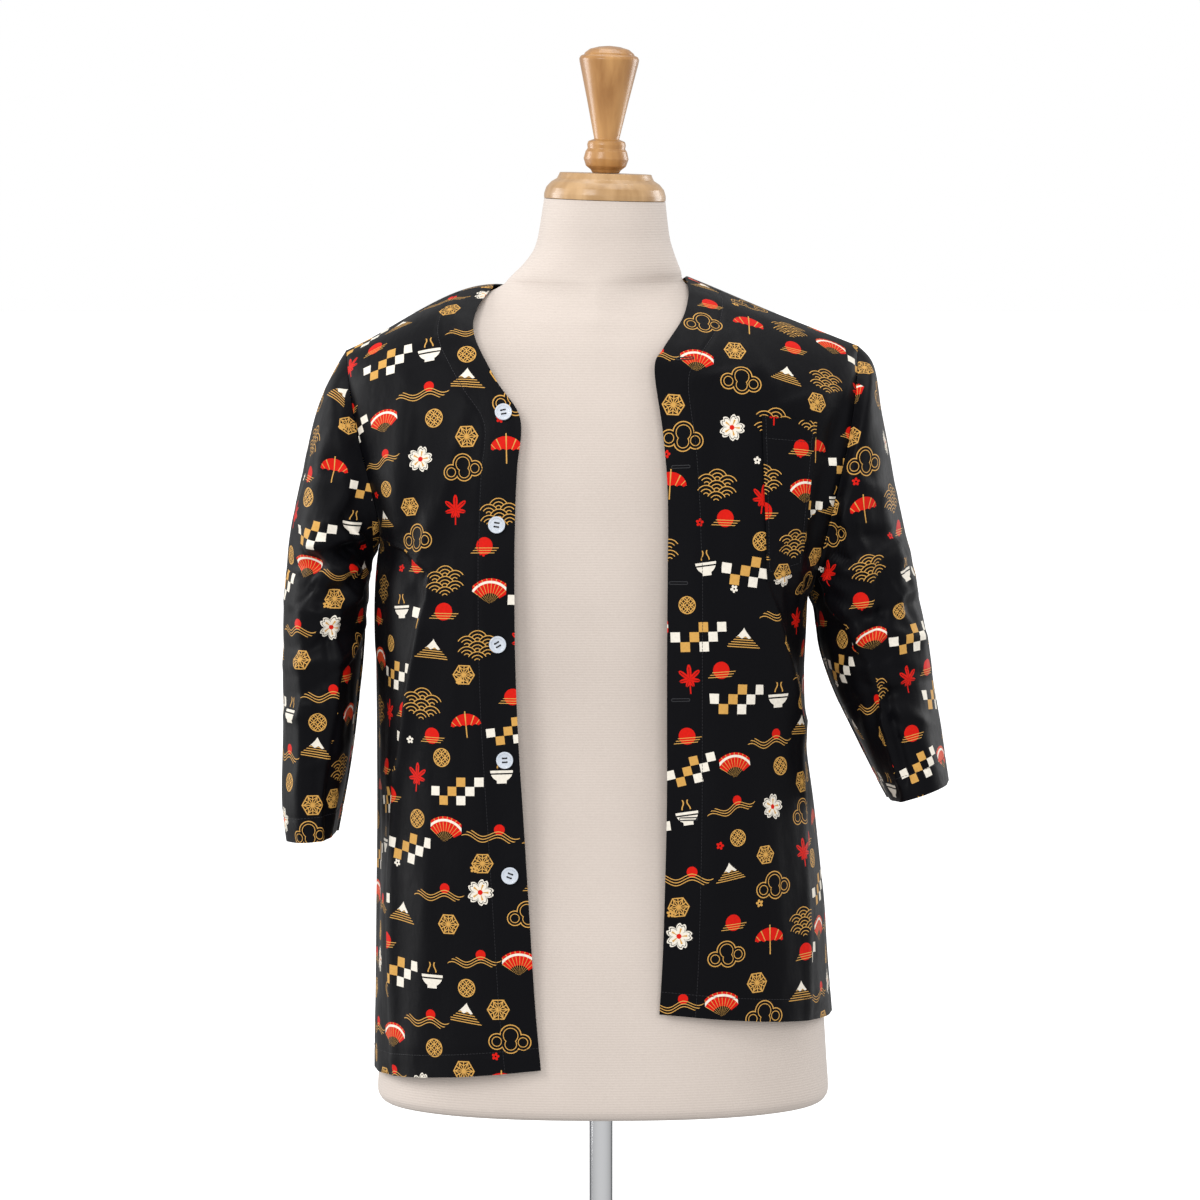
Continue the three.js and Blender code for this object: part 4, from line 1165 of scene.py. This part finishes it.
def stitched(name, lines):
    """Rows of stitches along lines of (points, normals) on the cloth, in mm."""
    verts, faces = [], []
    for points, normals in lines:
        steps = np.linalg.norm(np.diff(points, axis=0), axis=1)
        along = np.concatenate([[0], np.cumsum(steps)])
        for mark in np.arange(1.5, along[-1] - 1.5, STITCH_STEP):
            start, place, end = (at_distance(mark + d, along, points) for d in (-1.2, 0, 1.2))
            up = at_distance(mark, along, normals)
            forward = (end - start) / (np.linalg.norm(end - start) + 1e-9)
            sideways = np.cross(up, forward)
            sideways /= np.linalg.norm(sideways) + 1e-9
            up = np.cross(forward, sideways)
            local = STITCH_POINTS * [STITCH_LENGTH, THREAD_WIDTH, THREAD_WIDTH * 0.7]
            base = len(verts)
            verts.extend(place + up * 0.12 + local @ np.array([forward, sideways, up]))
            faces.extend([base + i for i in face] for face in STITCH_FACES)
    mesh = bpy.data.meshes.new(name)
    mesh.from_pydata(np.array(verts) * MM, [], faces)
    mesh.shade_smooth()
    mesh.materials.append(black_thread)
    piece = bpy.data.objects.new(name, mesh)
    studio.collection.objects.link(piece)
    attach(piece, "root")
    print(f"{name}: {len(verts) // len(STITCH_POINTS)} stitches")
    return piece


def line_from_edge(grid, normals, distance, by_rows):
    """The line at a distance from the inner edge (by_rows) or from the hem."""
    across, along = from_edges(grid)
    if not by_rows:
        grid, normals, across = grid.swapaxes(0, 1), normals.swapaxes(0, 1), along.T
    return tuple(np.array([at_distance(distance, *line) for line in zip(across, values)])
                 for values in (grid, normals))


stitches_right = stitched("front_right_stitches", [
    line_from_edge(right_grid, right_normals, FACING_WIDTH, True),
    line_from_edge(right_grid, right_normals, HEM_DEPTH, False)])
stitches_left = stitched("front_left_stitches", [
    line_from_edge(left_grid, left_normals, FACING_WIDTH, True),
    line_from_edge(left_grid, left_normals, HEM_DEPTH, False)])
lower_back = np.concatenate([right_back[below_neck, ::-1], left_back[below_neck, 1:]], axis=1)
lower_normals = normals_of(lower_back, axis_of(lower_back))
stitches_back = stitched("back_stitches", [
    line_from_edge(lower_back, lower_normals, HEM_DEPTH, False)])
sleeve_stitches = [
    stitched(name, [line_from_edge(grid[::-1], normals[::-1], SLEEVE_HEM_DEPTH, False)])
    for name, (_, grid, normals) in zip(("sleeve_right_stitches", "sleeve_left_stitches"), sleeves)]
inset = 3
pocket_lines = [
    (pocket_points[inset:, 2][::-1], pocket_normals[inset:, 2][::-1]),
    (pocket_points[inset, 2:-2], pocket_normals[inset, 2:-2]),
    (pocket_points[inset:, -3], pocket_normals[inset:, -3]),
    (pocket_points[-8, 1:-1], pocket_normals[-8, 1:-1]),
]
pocket_stitches = stitched("pocket_stitches", pocket_lines)

# %% [markdown]
# ## The cloth in place of the CAD nodes
# Each cloth takes the place of its CAD node, which is hidden. The cut of each piece is printed where
# it is made: its widest row, its longest line up the cloth, and its area. The back's lines up the
# cloth run from 0.66 m to 0.83 m. The back's length is about the mean of its lines instead, which
# run from 0.66 m to 0.83 m.

# %% Sheets
def declare(node):
    """A cloth takes its CAD node's place: the node is hidden."""
    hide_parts(node)


declare("front_right")
declare("front_left")
declare("back")
declare("sleeve_right")
declare("sleeve_left")
declare("pocket")

# %% [markdown]
# ## Buttonholes and buttons
# Five buttons are sewn along the wearer's right front and five buttonholes are worked in the
# other. A buttonhole is a long ring of thread round a slit. A button is a thick disc with a raised
# rim, a dished face and four holes, held by two bars of thread.

# %% Buttonholes
# x, z and tilt
BUTTONHOLES = [(74, 1370, 4), (70, 1276, 2), (68, 1174, 0), (70, 1071, 1), (77, 966, 2)]
HOLE_LENGTH, HOLE_END, HOLE_CORD = 16.0, 1.15, 0.55


def in_place(piece, point, normal, tilt=0.0):
    """Moves a mesh made round the origin, facing +Z, onto the cloth. Metres."""
    facing = Vector(normal).normalized()
    upright = Vector((0, 0, 1)) - facing * facing.z
    upright.normalize()
    across = upright.cross(facing)
    turn = Matrix((across, upright, facing)).transposed().to_4x4()
    turn = turn @ Matrix.Rotation(math.radians(tilt), 4, "Z")
    piece.data.transform(Matrix.Translation(Vector(point)) @ turn)
    return piece


def copied(piece, name):
    """A copy with its own mesh."""
    twin = piece.copy()
    twin.data = piece.data.copy()
    twin.name = name
    studio.collection.objects.link(twin)
    return twin


def buttonhole():
    """A small ring of cord, pulled out sideways to a long one."""
    bpy.ops.object.select_all(action="DESELECT")
    bpy.ops.mesh.primitive_torus_add(major_radius=HOLE_END * MM, minor_radius=HOLE_CORD * MM,
                                     major_segments=24, minor_segments=8)
    ring = bpy.context.object
    bpy.ops.object.mode_set(mode="EDIT")
    bpy.ops.mesh.select_all(action="DESELECT")
    bpy.ops.object.mode_set(mode="OBJECT")
    for vertex in ring.data.vertices:
        vertex.select = vertex.co.x > 1e-5
    bpy.ops.object.mode_set(mode="EDIT")
    pull = HOLE_LENGTH - 2 * HOLE_END
    bpy.ops.transform.translate(value=(pull * MM, 0, 0))
    bpy.ops.mesh.select_all(action="SELECT")
    bpy.ops.transform.translate(value=(-pull / 2 * MM, 0, 0))
    bpy.ops.object.mode_set(mode="OBJECT")
    ring.data.materials.append(black_thread)
    ring.data.shade_smooth()
    return ring


first_hole = buttonhole()
for number_of, (x, z, tilt) in enumerate(BUTTONHOLES, 1):
    point, normal = on_front(left_tree, x, z)
    hole = copied(first_hole, f"buttonhole_{number_of}")
    in_place(hole, (point + normal * 0.1) * MM, normal, tilt)
    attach(hole, "root")
bpy.data.objects.remove(first_hole)

# %% [markdown]
# ## The button's finish
# The buttons are pale and a little cloudy, like shell, and polished. Noise on Object coordinates
# mixes two pale tones, so that no two buttons are quite alike, and a thin coat gives the gloss.

# %% Button material
def shell_material():
    """A pale cloudy button with a glossy coat."""
    shell, tree, shader = new_material("shirt_button", (0.72, 0.76, 0.83, 1))
    place = lay(tree, "TexCoord").outputs["Object"]
    cloudy = lay(tree, "TexNoise", Vector=place, Scale=190.0, Detail=3.0, Distortion=1.5)
    mix = lay(tree, "Mix", {"data_type": "RGBA"}, Factor=cloudy.outputs["Fac"])
    feed(mix.inputs[6], (0.40, 0.46, 0.55, 1))
    feed(mix.inputs[7], (0.66, 0.68, 0.71, 1))
    feed(shader.inputs["Base Color"], mix.outputs[2])
    feed(shader.inputs["Roughness"], Field(tree, cloudy.outputs["Fac"]) * 0.2 + 0.18)
    shader.inputs["Coat Weight"].default_value = 0.4
    shader.inputs["Coat Roughness"].default_value = 0.08
    return shell


shell = shell_material()

# %% Buttons
BUTTON_PLACES = [(-85.7, 1323), (-91.4, 1225), (-91, 1120), (-84.4, 1018), (-80, 916)]
BUTTON_RADIUS, BUTTON_HEIGHT, BUTTON_LIFT = 7.5, 2.6, 0.5
HOLE_PLACE, HOLE_RADIUS = 1.75, 0.85


def select_faces(piece, chosen):
    """In edit mode, selects only the faces that a test accepts."""
    bpy.ops.object.mode_set(mode="OBJECT")
    for element in (*piece.data.vertices, *piece.data.edges):
        element.select = False
    for face in piece.data.polygons:
        face.select = bool(chosen(face))
    bpy.ops.object.mode_set(mode="EDIT")


def button():
    """A disc with a raised rim, a dished face and four drilled holes."""
    bpy.ops.object.select_all(action="DESELECT")
    bpy.ops.mesh.primitive_cylinder_add(vertices=40, radius=BUTTON_RADIUS * MM,
                                        depth=BUTTON_HEIGHT * MM)
    disc = bpy.context.object
    bpy.ops.object.mode_set(mode="EDIT")
    bpy.ops.mesh.select_mode(type="FACE")
    select_faces(disc, lambda face: face.normal.z > 0.9)
    for inset_by, sunk in ((1.5, 0.15), (0.7, 0.6), (1.2, 0.1)):
        bpy.ops.mesh.inset(thickness=inset_by * MM)
        bpy.ops.transform.translate(value=(0, 0, -sunk * MM))
    bpy.ops.object.mode_set(mode="OBJECT")
    rounding = disc.modifiers.new("rounding", "BEVEL")
    rounding.width = 0.32 * MM
    rounding.segments = 3
    rounding.angle_limit = math.radians(25)
    bpy.ops.object.modifier_apply(modifier=rounding.name)
    for x, y in ((1, 1), (1, -1), (-1, 1), (-1, -1)):
        bpy.ops.mesh.primitive_cylinder_add(vertices=16, radius=HOLE_RADIUS * MM, depth=8 * MM,
                                            location=(x * HOLE_PLACE * MM, y * HOLE_PLACE * MM, 0))
        drill = bpy.context.object
        bpy.context.view_layer.objects.active = disc
        cut = disc.modifiers.new("hole", "BOOLEAN")
        cut.operation = "DIFFERENCE"
        cut.object = drill
        bpy.ops.object.modifier_apply(modifier=cut.name)
        bpy.data.objects.remove(drill)
    disc.data.materials.clear()
    disc.data.materials.append(shell)
    disc.data.shade_smooth()
    disc.data.set_sharp_from_angle(angle=math.radians(40))
    return disc


def button_bars():
    """Two bars of thread over the holes and the threads that go down through them."""
    bars = []
    for y in (HOLE_PLACE, -HOLE_PLACE):
        for shift in (-0.32, 0.32):
            bpy.ops.mesh.primitive_cylinder_add(
                vertices=10, radius=0.33 * MM, depth=2 * HOLE_PLACE * MM,
                location=(0, (y + shift) * MM, 0.75 * MM), rotation=(0, math.pi / 2, 0))
            bars.append(bpy.context.object)
    for x in (-HOLE_PLACE, HOLE_PLACE):
        for y in (-HOLE_PLACE, HOLE_PLACE):
            bpy.ops.mesh.primitive_cylinder_add(vertices=10, radius=0.5 * MM, depth=2.4 * MM,
                                                location=(x * MM, y * MM, -0.6 * MM))
            bars.append(bpy.context.object)
    bpy.ops.object.select_all(action="DESELECT")
    for bar in bars:
        bar.select_set(True)
    bpy.context.view_layer.objects.active = bars[0]
    bpy.ops.object.transform_apply(location=True, rotation=True, scale=True)
    bpy.ops.object.join()
    bars[0].data.shade_smooth()
    bars[0].data.set_sharp_from_angle(angle=math.radians(40))
    bars[0].data.materials.append(black_thread)
    return bars[0]


first_button, first_bars = button(), button_bars()
BUTTON_TILTS = [12, -8, 31, 4, -20]
for number_of, ((x, z), tilt) in enumerate(zip(BUTTON_PLACES, BUTTON_TILTS), 1):
    point, normal = on_front(right_tree, x, z)
    place = (point + normal * (BUTTON_LIFT + BUTTON_HEIGHT / 2)) * MM
    disc = in_place(copied(first_button, f"shell_button_{number_of}"), place, normal, tilt)
    bars = in_place(copied(first_bars, f"button_thread_{number_of}"), place, normal, tilt)
    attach(disc, "root")
    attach(bars, "root")
    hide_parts(f"button_{number_of}")
bpy.data.objects.remove(first_button)
bpy.data.objects.remove(first_bars)
print(len(BUTTON_PLACES), "buttons sewn on")

# %% [markdown]
# ## The dress form
# A tailor's form is a papier-mache torso in a knitted cover. It is turned like a pot, but its
# rings are flattened ovals: each level has a half width, a depth in front and behind, and a
# squareness. The cover is a knit, and its courses run round the body as fine ribs.

# %% Form cover
# z, middle, half width, front, back, squareness
FORM = [
    [694.5, 1.8, 190, 122, 118, 2.3], [696.5, 1.8, 198, 129, 125, 2.3],
    [700.5, 1.8, 202.5, 133, 128, 2.3], [708, 1.8, 204.5, 135, 130, 2.3],
    [733, 1.8, 203, 135, 130, 2.3], [800, 1, 199, 134, 129, 2.3], [880, 0, 190, 127, 120, 2.3],
    [960, -2, 176, 116, 106, 2.3], [1040, -4, 170, 110, 100, 2.3], [1120, -6, 173, 115, 104, 2.3],
    [1190, -6, 178, 121, 110, 2.3], [1260, -5, 184, 121, 112, 2.2], [1315, -4, 191, 113, 107, 2],
    [1350, -3, 197, 104, 101, 1.75], [1376, -3, 197, 98, 97, 1.55], [1391.2, -3, 186, 93, 94, 1.4],
    [1402.6, -3, 162.5, 89, 92, 1.31], [1412, -3, 135, 83, 88, 1.27],
    [1424, -4.2, 99.5, 77, 82, 1.3], [1432, -5.2, 83, 73, 78, 1.45], [1437, -5, 78.5, 71, 75, 1.6],
    [1443, -2.5, 75, 68, 71, 1.8], [1451, 0, 69.5, 65, 67, 1.95], [1462, 2, 63.5, 62, 62, 2],
    [1473, 2.4, 60, 59.5, 59.5, 2], [1488.5, 2.8, 57.5, 57.5, 57.5, 2],
    [1507.2, 3.4, 55, 54, 54, 2],
]
FORM_SIDES = 128
FORM_EASE = 0.7
NECK_FROM, NECK_TOP = 1480, 1507.2
CAP_LEAN = math.radians(1.8)


def form_grid():
    """Rings of the form from its foot up. The neck leans with the cap."""
    places = np.linspace(0, len(FORM) - 1, 5 * (len(FORM) - 1) + 1)
    z, middle, half, front, behind, squareness = smooth_levels(FORM, places).T[:, :, None]
    angle = np.linspace(0, FULL_TURN, FORM_SIDES + 1)[None, :]
    power = 2 / squareness
    across, deep = bent(np.cos(angle), power), bent(np.sin(angle), power)
    x = middle + (half - FORM_EASE) * across
    y = -np.where(deep > 0, front - FORM_EASE, behind - FORM_EASE) * deep
    near_top = np.clip((z - NECK_FROM) / (NECK_TOP - NECK_FROM), 0, 1)
    lean = near_top * -np.sin(CAP_LEAN) * (x - middle)
    return np.stack([x, y, z + lean], axis=-1)


def knit_material():
    """A soft knit whose courses run round the form."""
    knit, tree, shader = new_material("form_jersey", (0.75, 0.70, 0.63, 1))
    place = lay(tree, "TexCoord").outputs["Object"]
    split = lay(tree, "SeparateXYZ", Vector=place)
    height = number(tree, split, 2)
    waver = lay(tree, "TexNoise", Vector=place, Scale=22.0, Detail=2.0)
    course = (height * 2700.0 + Field(tree, waver.outputs["Fac"]) * 2.2).sine()
    fluff = lay(tree, "TexNoise", Vector=place, Scale=650.0, Detail=2.0)
    shade = lay(tree, "TexNoise", Vector=place, Scale=9.0, Detail=2.0)
    tone = (course * 0.04 + Field(tree, fluff.outputs["Fac"]) * 0.3
            + Field(tree, shade.outputs["Fac"]) * 0.3)
    mix = lay(tree, "Mix", {"data_type": "RGBA"}, Factor=tone)
    feed(mix.inputs[6], (0.48, 0.415, 0.37, 1))
    feed(mix.inputs[7], (0.77, 0.685, 0.62, 1))
    feed(shader.inputs["Base Color"], mix.outputs[2])
    ribs = lay(tree, "Bump", Strength=0.35, Distance=0.0003, Height=course * 0.5 + 0.5)
    nap = lay(tree, "Bump", Strength=0.4, Distance=0.0003, Height=fluff.outputs["Fac"])
    feed(nap.inputs["Normal"], ribs.outputs["Normal"])
    feed(shader.inputs["Normal"], nap.outputs["Normal"])
    shader.inputs["Roughness"].default_value = 0.85
    shader.inputs["Sheen Weight"].default_value = 0.12
    return knit


form_points = form_grid()
rows, columns = form_points.shape[0], FORM_SIDES
verts = form_points[:, :-1].reshape(-1, 3) * MM
faces = [[r * columns + c, r * columns + (c + 1) % columns,
          (r + 1) * columns + (c + 1) % columns, (r + 1) * columns + c]
         for r in range(rows - 1) for c in range(columns)]
mesh = bpy.data.meshes.new("form_cover")
mesh.from_pydata(verts, [], faces)
form_cover = bpy.data.objects.new("form_cover", mesh)
studio.collection.objects.link(form_cover)
work_on(form_cover, "EDIT")
bpy.ops.mesh.select_all(action="DESELECT")
bpy.ops.mesh.select_mode(type="EDGE")
bpy.ops.mesh.select_non_manifold()
bpy.ops.mesh.edge_face_add()
bpy.ops.mesh.fill_holes(sides=0)
bpy.ops.mesh.select_all(action="SELECT")
bpy.ops.mesh.normals_make_consistent(inside=False)
bpy.ops.object.mode_set(mode="OBJECT")
mesh.shade_smooth()
mesh.set_sharp_from_angle(angle=math.radians(70))
mesh.materials.append(knit_material())
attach(form_cover, "root")
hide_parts("form_torso")
print("form cover:", len(mesh.polygons), "faces")

# %% [markdown]
# ## Turned wood and steel
# The neck cap and knob are turned on a lathe from pale maple, and the foot is spun steel. By hand,
# such a piece starts as a short cylinder whose top face is extruded and scaled, level by level, to
# the profile. The grain of the wood runs up through the knob in long streaks.

# %% Turned pieces
CAP_PROFILE = [(54.5, 0), (54.5, 4.5), (52.8, 10), (48.5, 15), (43.5, 18), (42, 21), (41, 23.5)]
KNOB_PROFILE = [
    (12, 23.8), (13.5, 26.5), (18, 30), (20.2, 36.5), (18.6, 43), (16.8, 45.5), (17.4, 49),
    (16.4, 52), (11.2, 54), (18.8, 89), (26.4, 122.5), (26.8, 125.5), (25.4, 128), (22.6, 129),
    (22, 130.6), (17.5, 134.2), (9.5, 136.4), (1.5, 137.2),
]
FOOT_PROFILE = [(173, 0), (175, 2), (175, 8), (169, 12)]
CAP_AT = (3.4, 0, 1507.6)
POLE_PROFILE = [(10.2, 12.3), (10.5, 12.8), (10.5, 693.8), (10.2, 694.2)]


def to_radius(radius, next_radius, height):
    """Scales the chosen face about the lathe's axis."""
    scale = next_radius / radius
    bpy.ops.transform.resize(value=(scale, scale, 1), center_override=(0, 0, height * MM))


def turned_piece(name, profile, sides=72, rounding=0.6):
    """A closed piece turned about the Z axis, from (radius, height) in mm."""
    bpy.ops.object.select_all(action="DESELECT")
    (radius, bottom), (next_radius, next_height) = profile[:2]
    bpy.ops.mesh.primitive_cylinder_add(
        vertices=sides, radius=radius * MM, depth=(next_height - bottom) * MM,
        location=(0, 0, (bottom + next_height) / 2 * MM))
    piece = bpy.context.object
    piece.name = name
    bpy.ops.object.transform_apply(location=True, rotation=True, scale=True)
    bpy.ops.object.mode_set(mode="EDIT")
    bpy.ops.mesh.select_mode(type="FACE")
    select_faces(piece, lambda face: face.normal.z > 0.9)
    to_radius(radius, next_radius, next_height)
    for (radius, height), (next_radius, next_height) in zip(profile[1:], profile[2:]):
        rise = {"value": (0, 0, (next_height - height) * MM)}
        bpy.ops.mesh.extrude_region_move(TRANSFORM_OT_translate=rise)
        to_radius(radius, next_radius, next_height)
    bpy.ops.object.mode_set(mode="OBJECT")
    bevel = piece.modifiers.new("rounding", "BEVEL")
    bevel.width = rounding * MM
    bevel.segments = 3
    bevel.angle_limit = math.radians(14)
    bpy.ops.object.modifier_apply(modifier=bevel.name)
    piece.data.shade_smooth()
    piece.data.set_sharp_from_angle(angle=math.radians(45))
    return piece


def wood_material(name, dark, light):
    """Lacquered wood with a long grain up and down, between two colours."""
    wood, tree, shader = new_material(name, light)
    place = lay(tree, "TexCoord").outputs["Object"]
    stretched = lay(tree, "Mapping", Vector=place, Scale=(1.0, 1.0, 0.09))
    streaks = lay(tree, "TexNoise", Vector=stretched.outputs[0], Scale=130.0, Detail=5.0,
                  Distortion=0.4)
    rings = lay(tree, "TexWave", {"wave_type": "RINGS", "rings_direction": "X"},
                Vector=stretched.outputs[0], Scale=34.0, Distortion=4.0, Detail=2.0)
    tone = Field(tree, streaks.outputs["Fac"]) * 0.75 + Field(tree, rings.outputs["Fac"]) * 0.25
    ramp = lay(tree, "ValToRGB", Fac=tone)
    ramp.color_ramp.elements[0].position = 0.25
    ramp.color_ramp.elements[0].color = dark
    ramp.color_ramp.elements[1].position = 0.75
    ramp.color_ramp.elements[1].color = light
    feed(shader.inputs["Base Color"], ramp.outputs["Color"])
    feed(shader.inputs["Roughness"], tone * 0.2 + 0.28)
    bump = lay(tree, "Bump", Strength=0.25, Distance=0.0003, Height=tone)
    feed(shader.inputs["Normal"], bump.outputs["Normal"])
    shader.inputs["Coat Weight"].default_value = 0.35
    shader.inputs["Coat Roughness"].default_value = 0.18
    return wood


def steel_material():
    """Polished chrome, with a painted reflection: light facing out, dark where it turns away."""
    steel, tree, shader = new_material("chromed_steel", (0.7, 0.71, 0.73, 1))
    place = lay(tree, "TexCoord").outputs["Object"]
    wiped = lay(tree, "TexNoise", Vector=place, Scale=40.0, Detail=4.0)
    shader.inputs["Metallic"].default_value = 1.0
    shader.inputs["Specular Tint"].default_value = (0.08, 0.08, 0.09, 1)
    # painted reflection: the base colour runs from near white facing the camera to near black at the
    # edges
    edge = number(tree, lay(tree, "LayerWeight", Blend=0.35), 1)
    mix = lay(tree, "Mix", {"data_type": "RGBA"}, Factor=(edge * 1.3).least(1.0))
    feed(mix.inputs[6], (0.97, 0.98, 1.0, 1))
    feed(mix.inputs[7], (0.10, 0.105, 0.115, 1))
    feed(shader.inputs["Base Color"], mix.outputs[2])
    feed(shader.inputs["Roughness"], Field(tree, wiped.outputs["Fac"]) * 0.14 + 0.07)
    return steel


cap_wood = wood_material("cap_wood", (0.34, 0.19, 0.075, 1), (0.52, 0.325, 0.155, 1))
knob_wood = wood_material("knob_wood", (0.30, 0.135, 0.036, 1), (0.47, 0.245, 0.082, 1))
steel = steel_material()
CAP_PLACE = Matrix.Translation(Vector(CAP_AT) * MM) @ Matrix.Rotation(CAP_LEAN, 4, "Y")
for name, profile, material, slot_name, node, leans in (
        ("neck_cap_wood", CAP_PROFILE, cap_wood, "turned_wood", "neck_cap", True),
        ("knob_wood", KNOB_PROFILE, knob_wood, "turned_wood", "finial", True),
        ("steel_pole", POLE_PROFILE, steel, "chromed_steel", "pole", False),
        ("steel_foot", FOOT_PROFILE, steel, "chromed_steel", "base", False)):
    piece = turned_piece(name, profile)
    if leans:
        piece.data.transform(CAP_PLACE)
    piece.data.materials.clear()
    piece.data.materials.append(material)
    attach(piece, "root")
    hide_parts(node)
    print(f"{name}: {len(piece.data.polygons)} faces")

# %% [markdown]
# ## The floor
# A plain pale floor carries the stand. It is so wide that its edge is far behind the camera. It
# throws no light back, or it would turn the black cloth grey from below.

# %% Floor
floor_mesh = bpy.data.meshes.new("floor")
FLOOR_REACH = 40
floor_corners = [(-FLOOR_REACH, -FLOOR_REACH, 0), (FLOOR_REACH, -FLOOR_REACH, 0),
                 (FLOOR_REACH, FLOOR_REACH, 0), (-FLOOR_REACH, FLOOR_REACH, 0)]
floor_mesh.from_pydata(floor_corners, [], [(0, 1, 2, 3)])
floor = bpy.data.objects.new("floor", floor_mesh)
studio.collection.objects.link(floor)
pale, _, pale_shader = new_material("pale_floor", (0.95, 0.95, 0.95, 1))
pale_shader.inputs["Base Color"].default_value = (0.93, 0.93, 0.93, 1)
pale_shader.inputs["Roughness"].default_value = 0.9
pale_shader.inputs["Emission Color"].default_value = (1, 1, 1, 1)
pale_shader.inputs["Emission Strength"].default_value = 0.85
floor_mesh.materials.append(pale)
floor.visible_glossy = False
floor.visible_diffuse = False
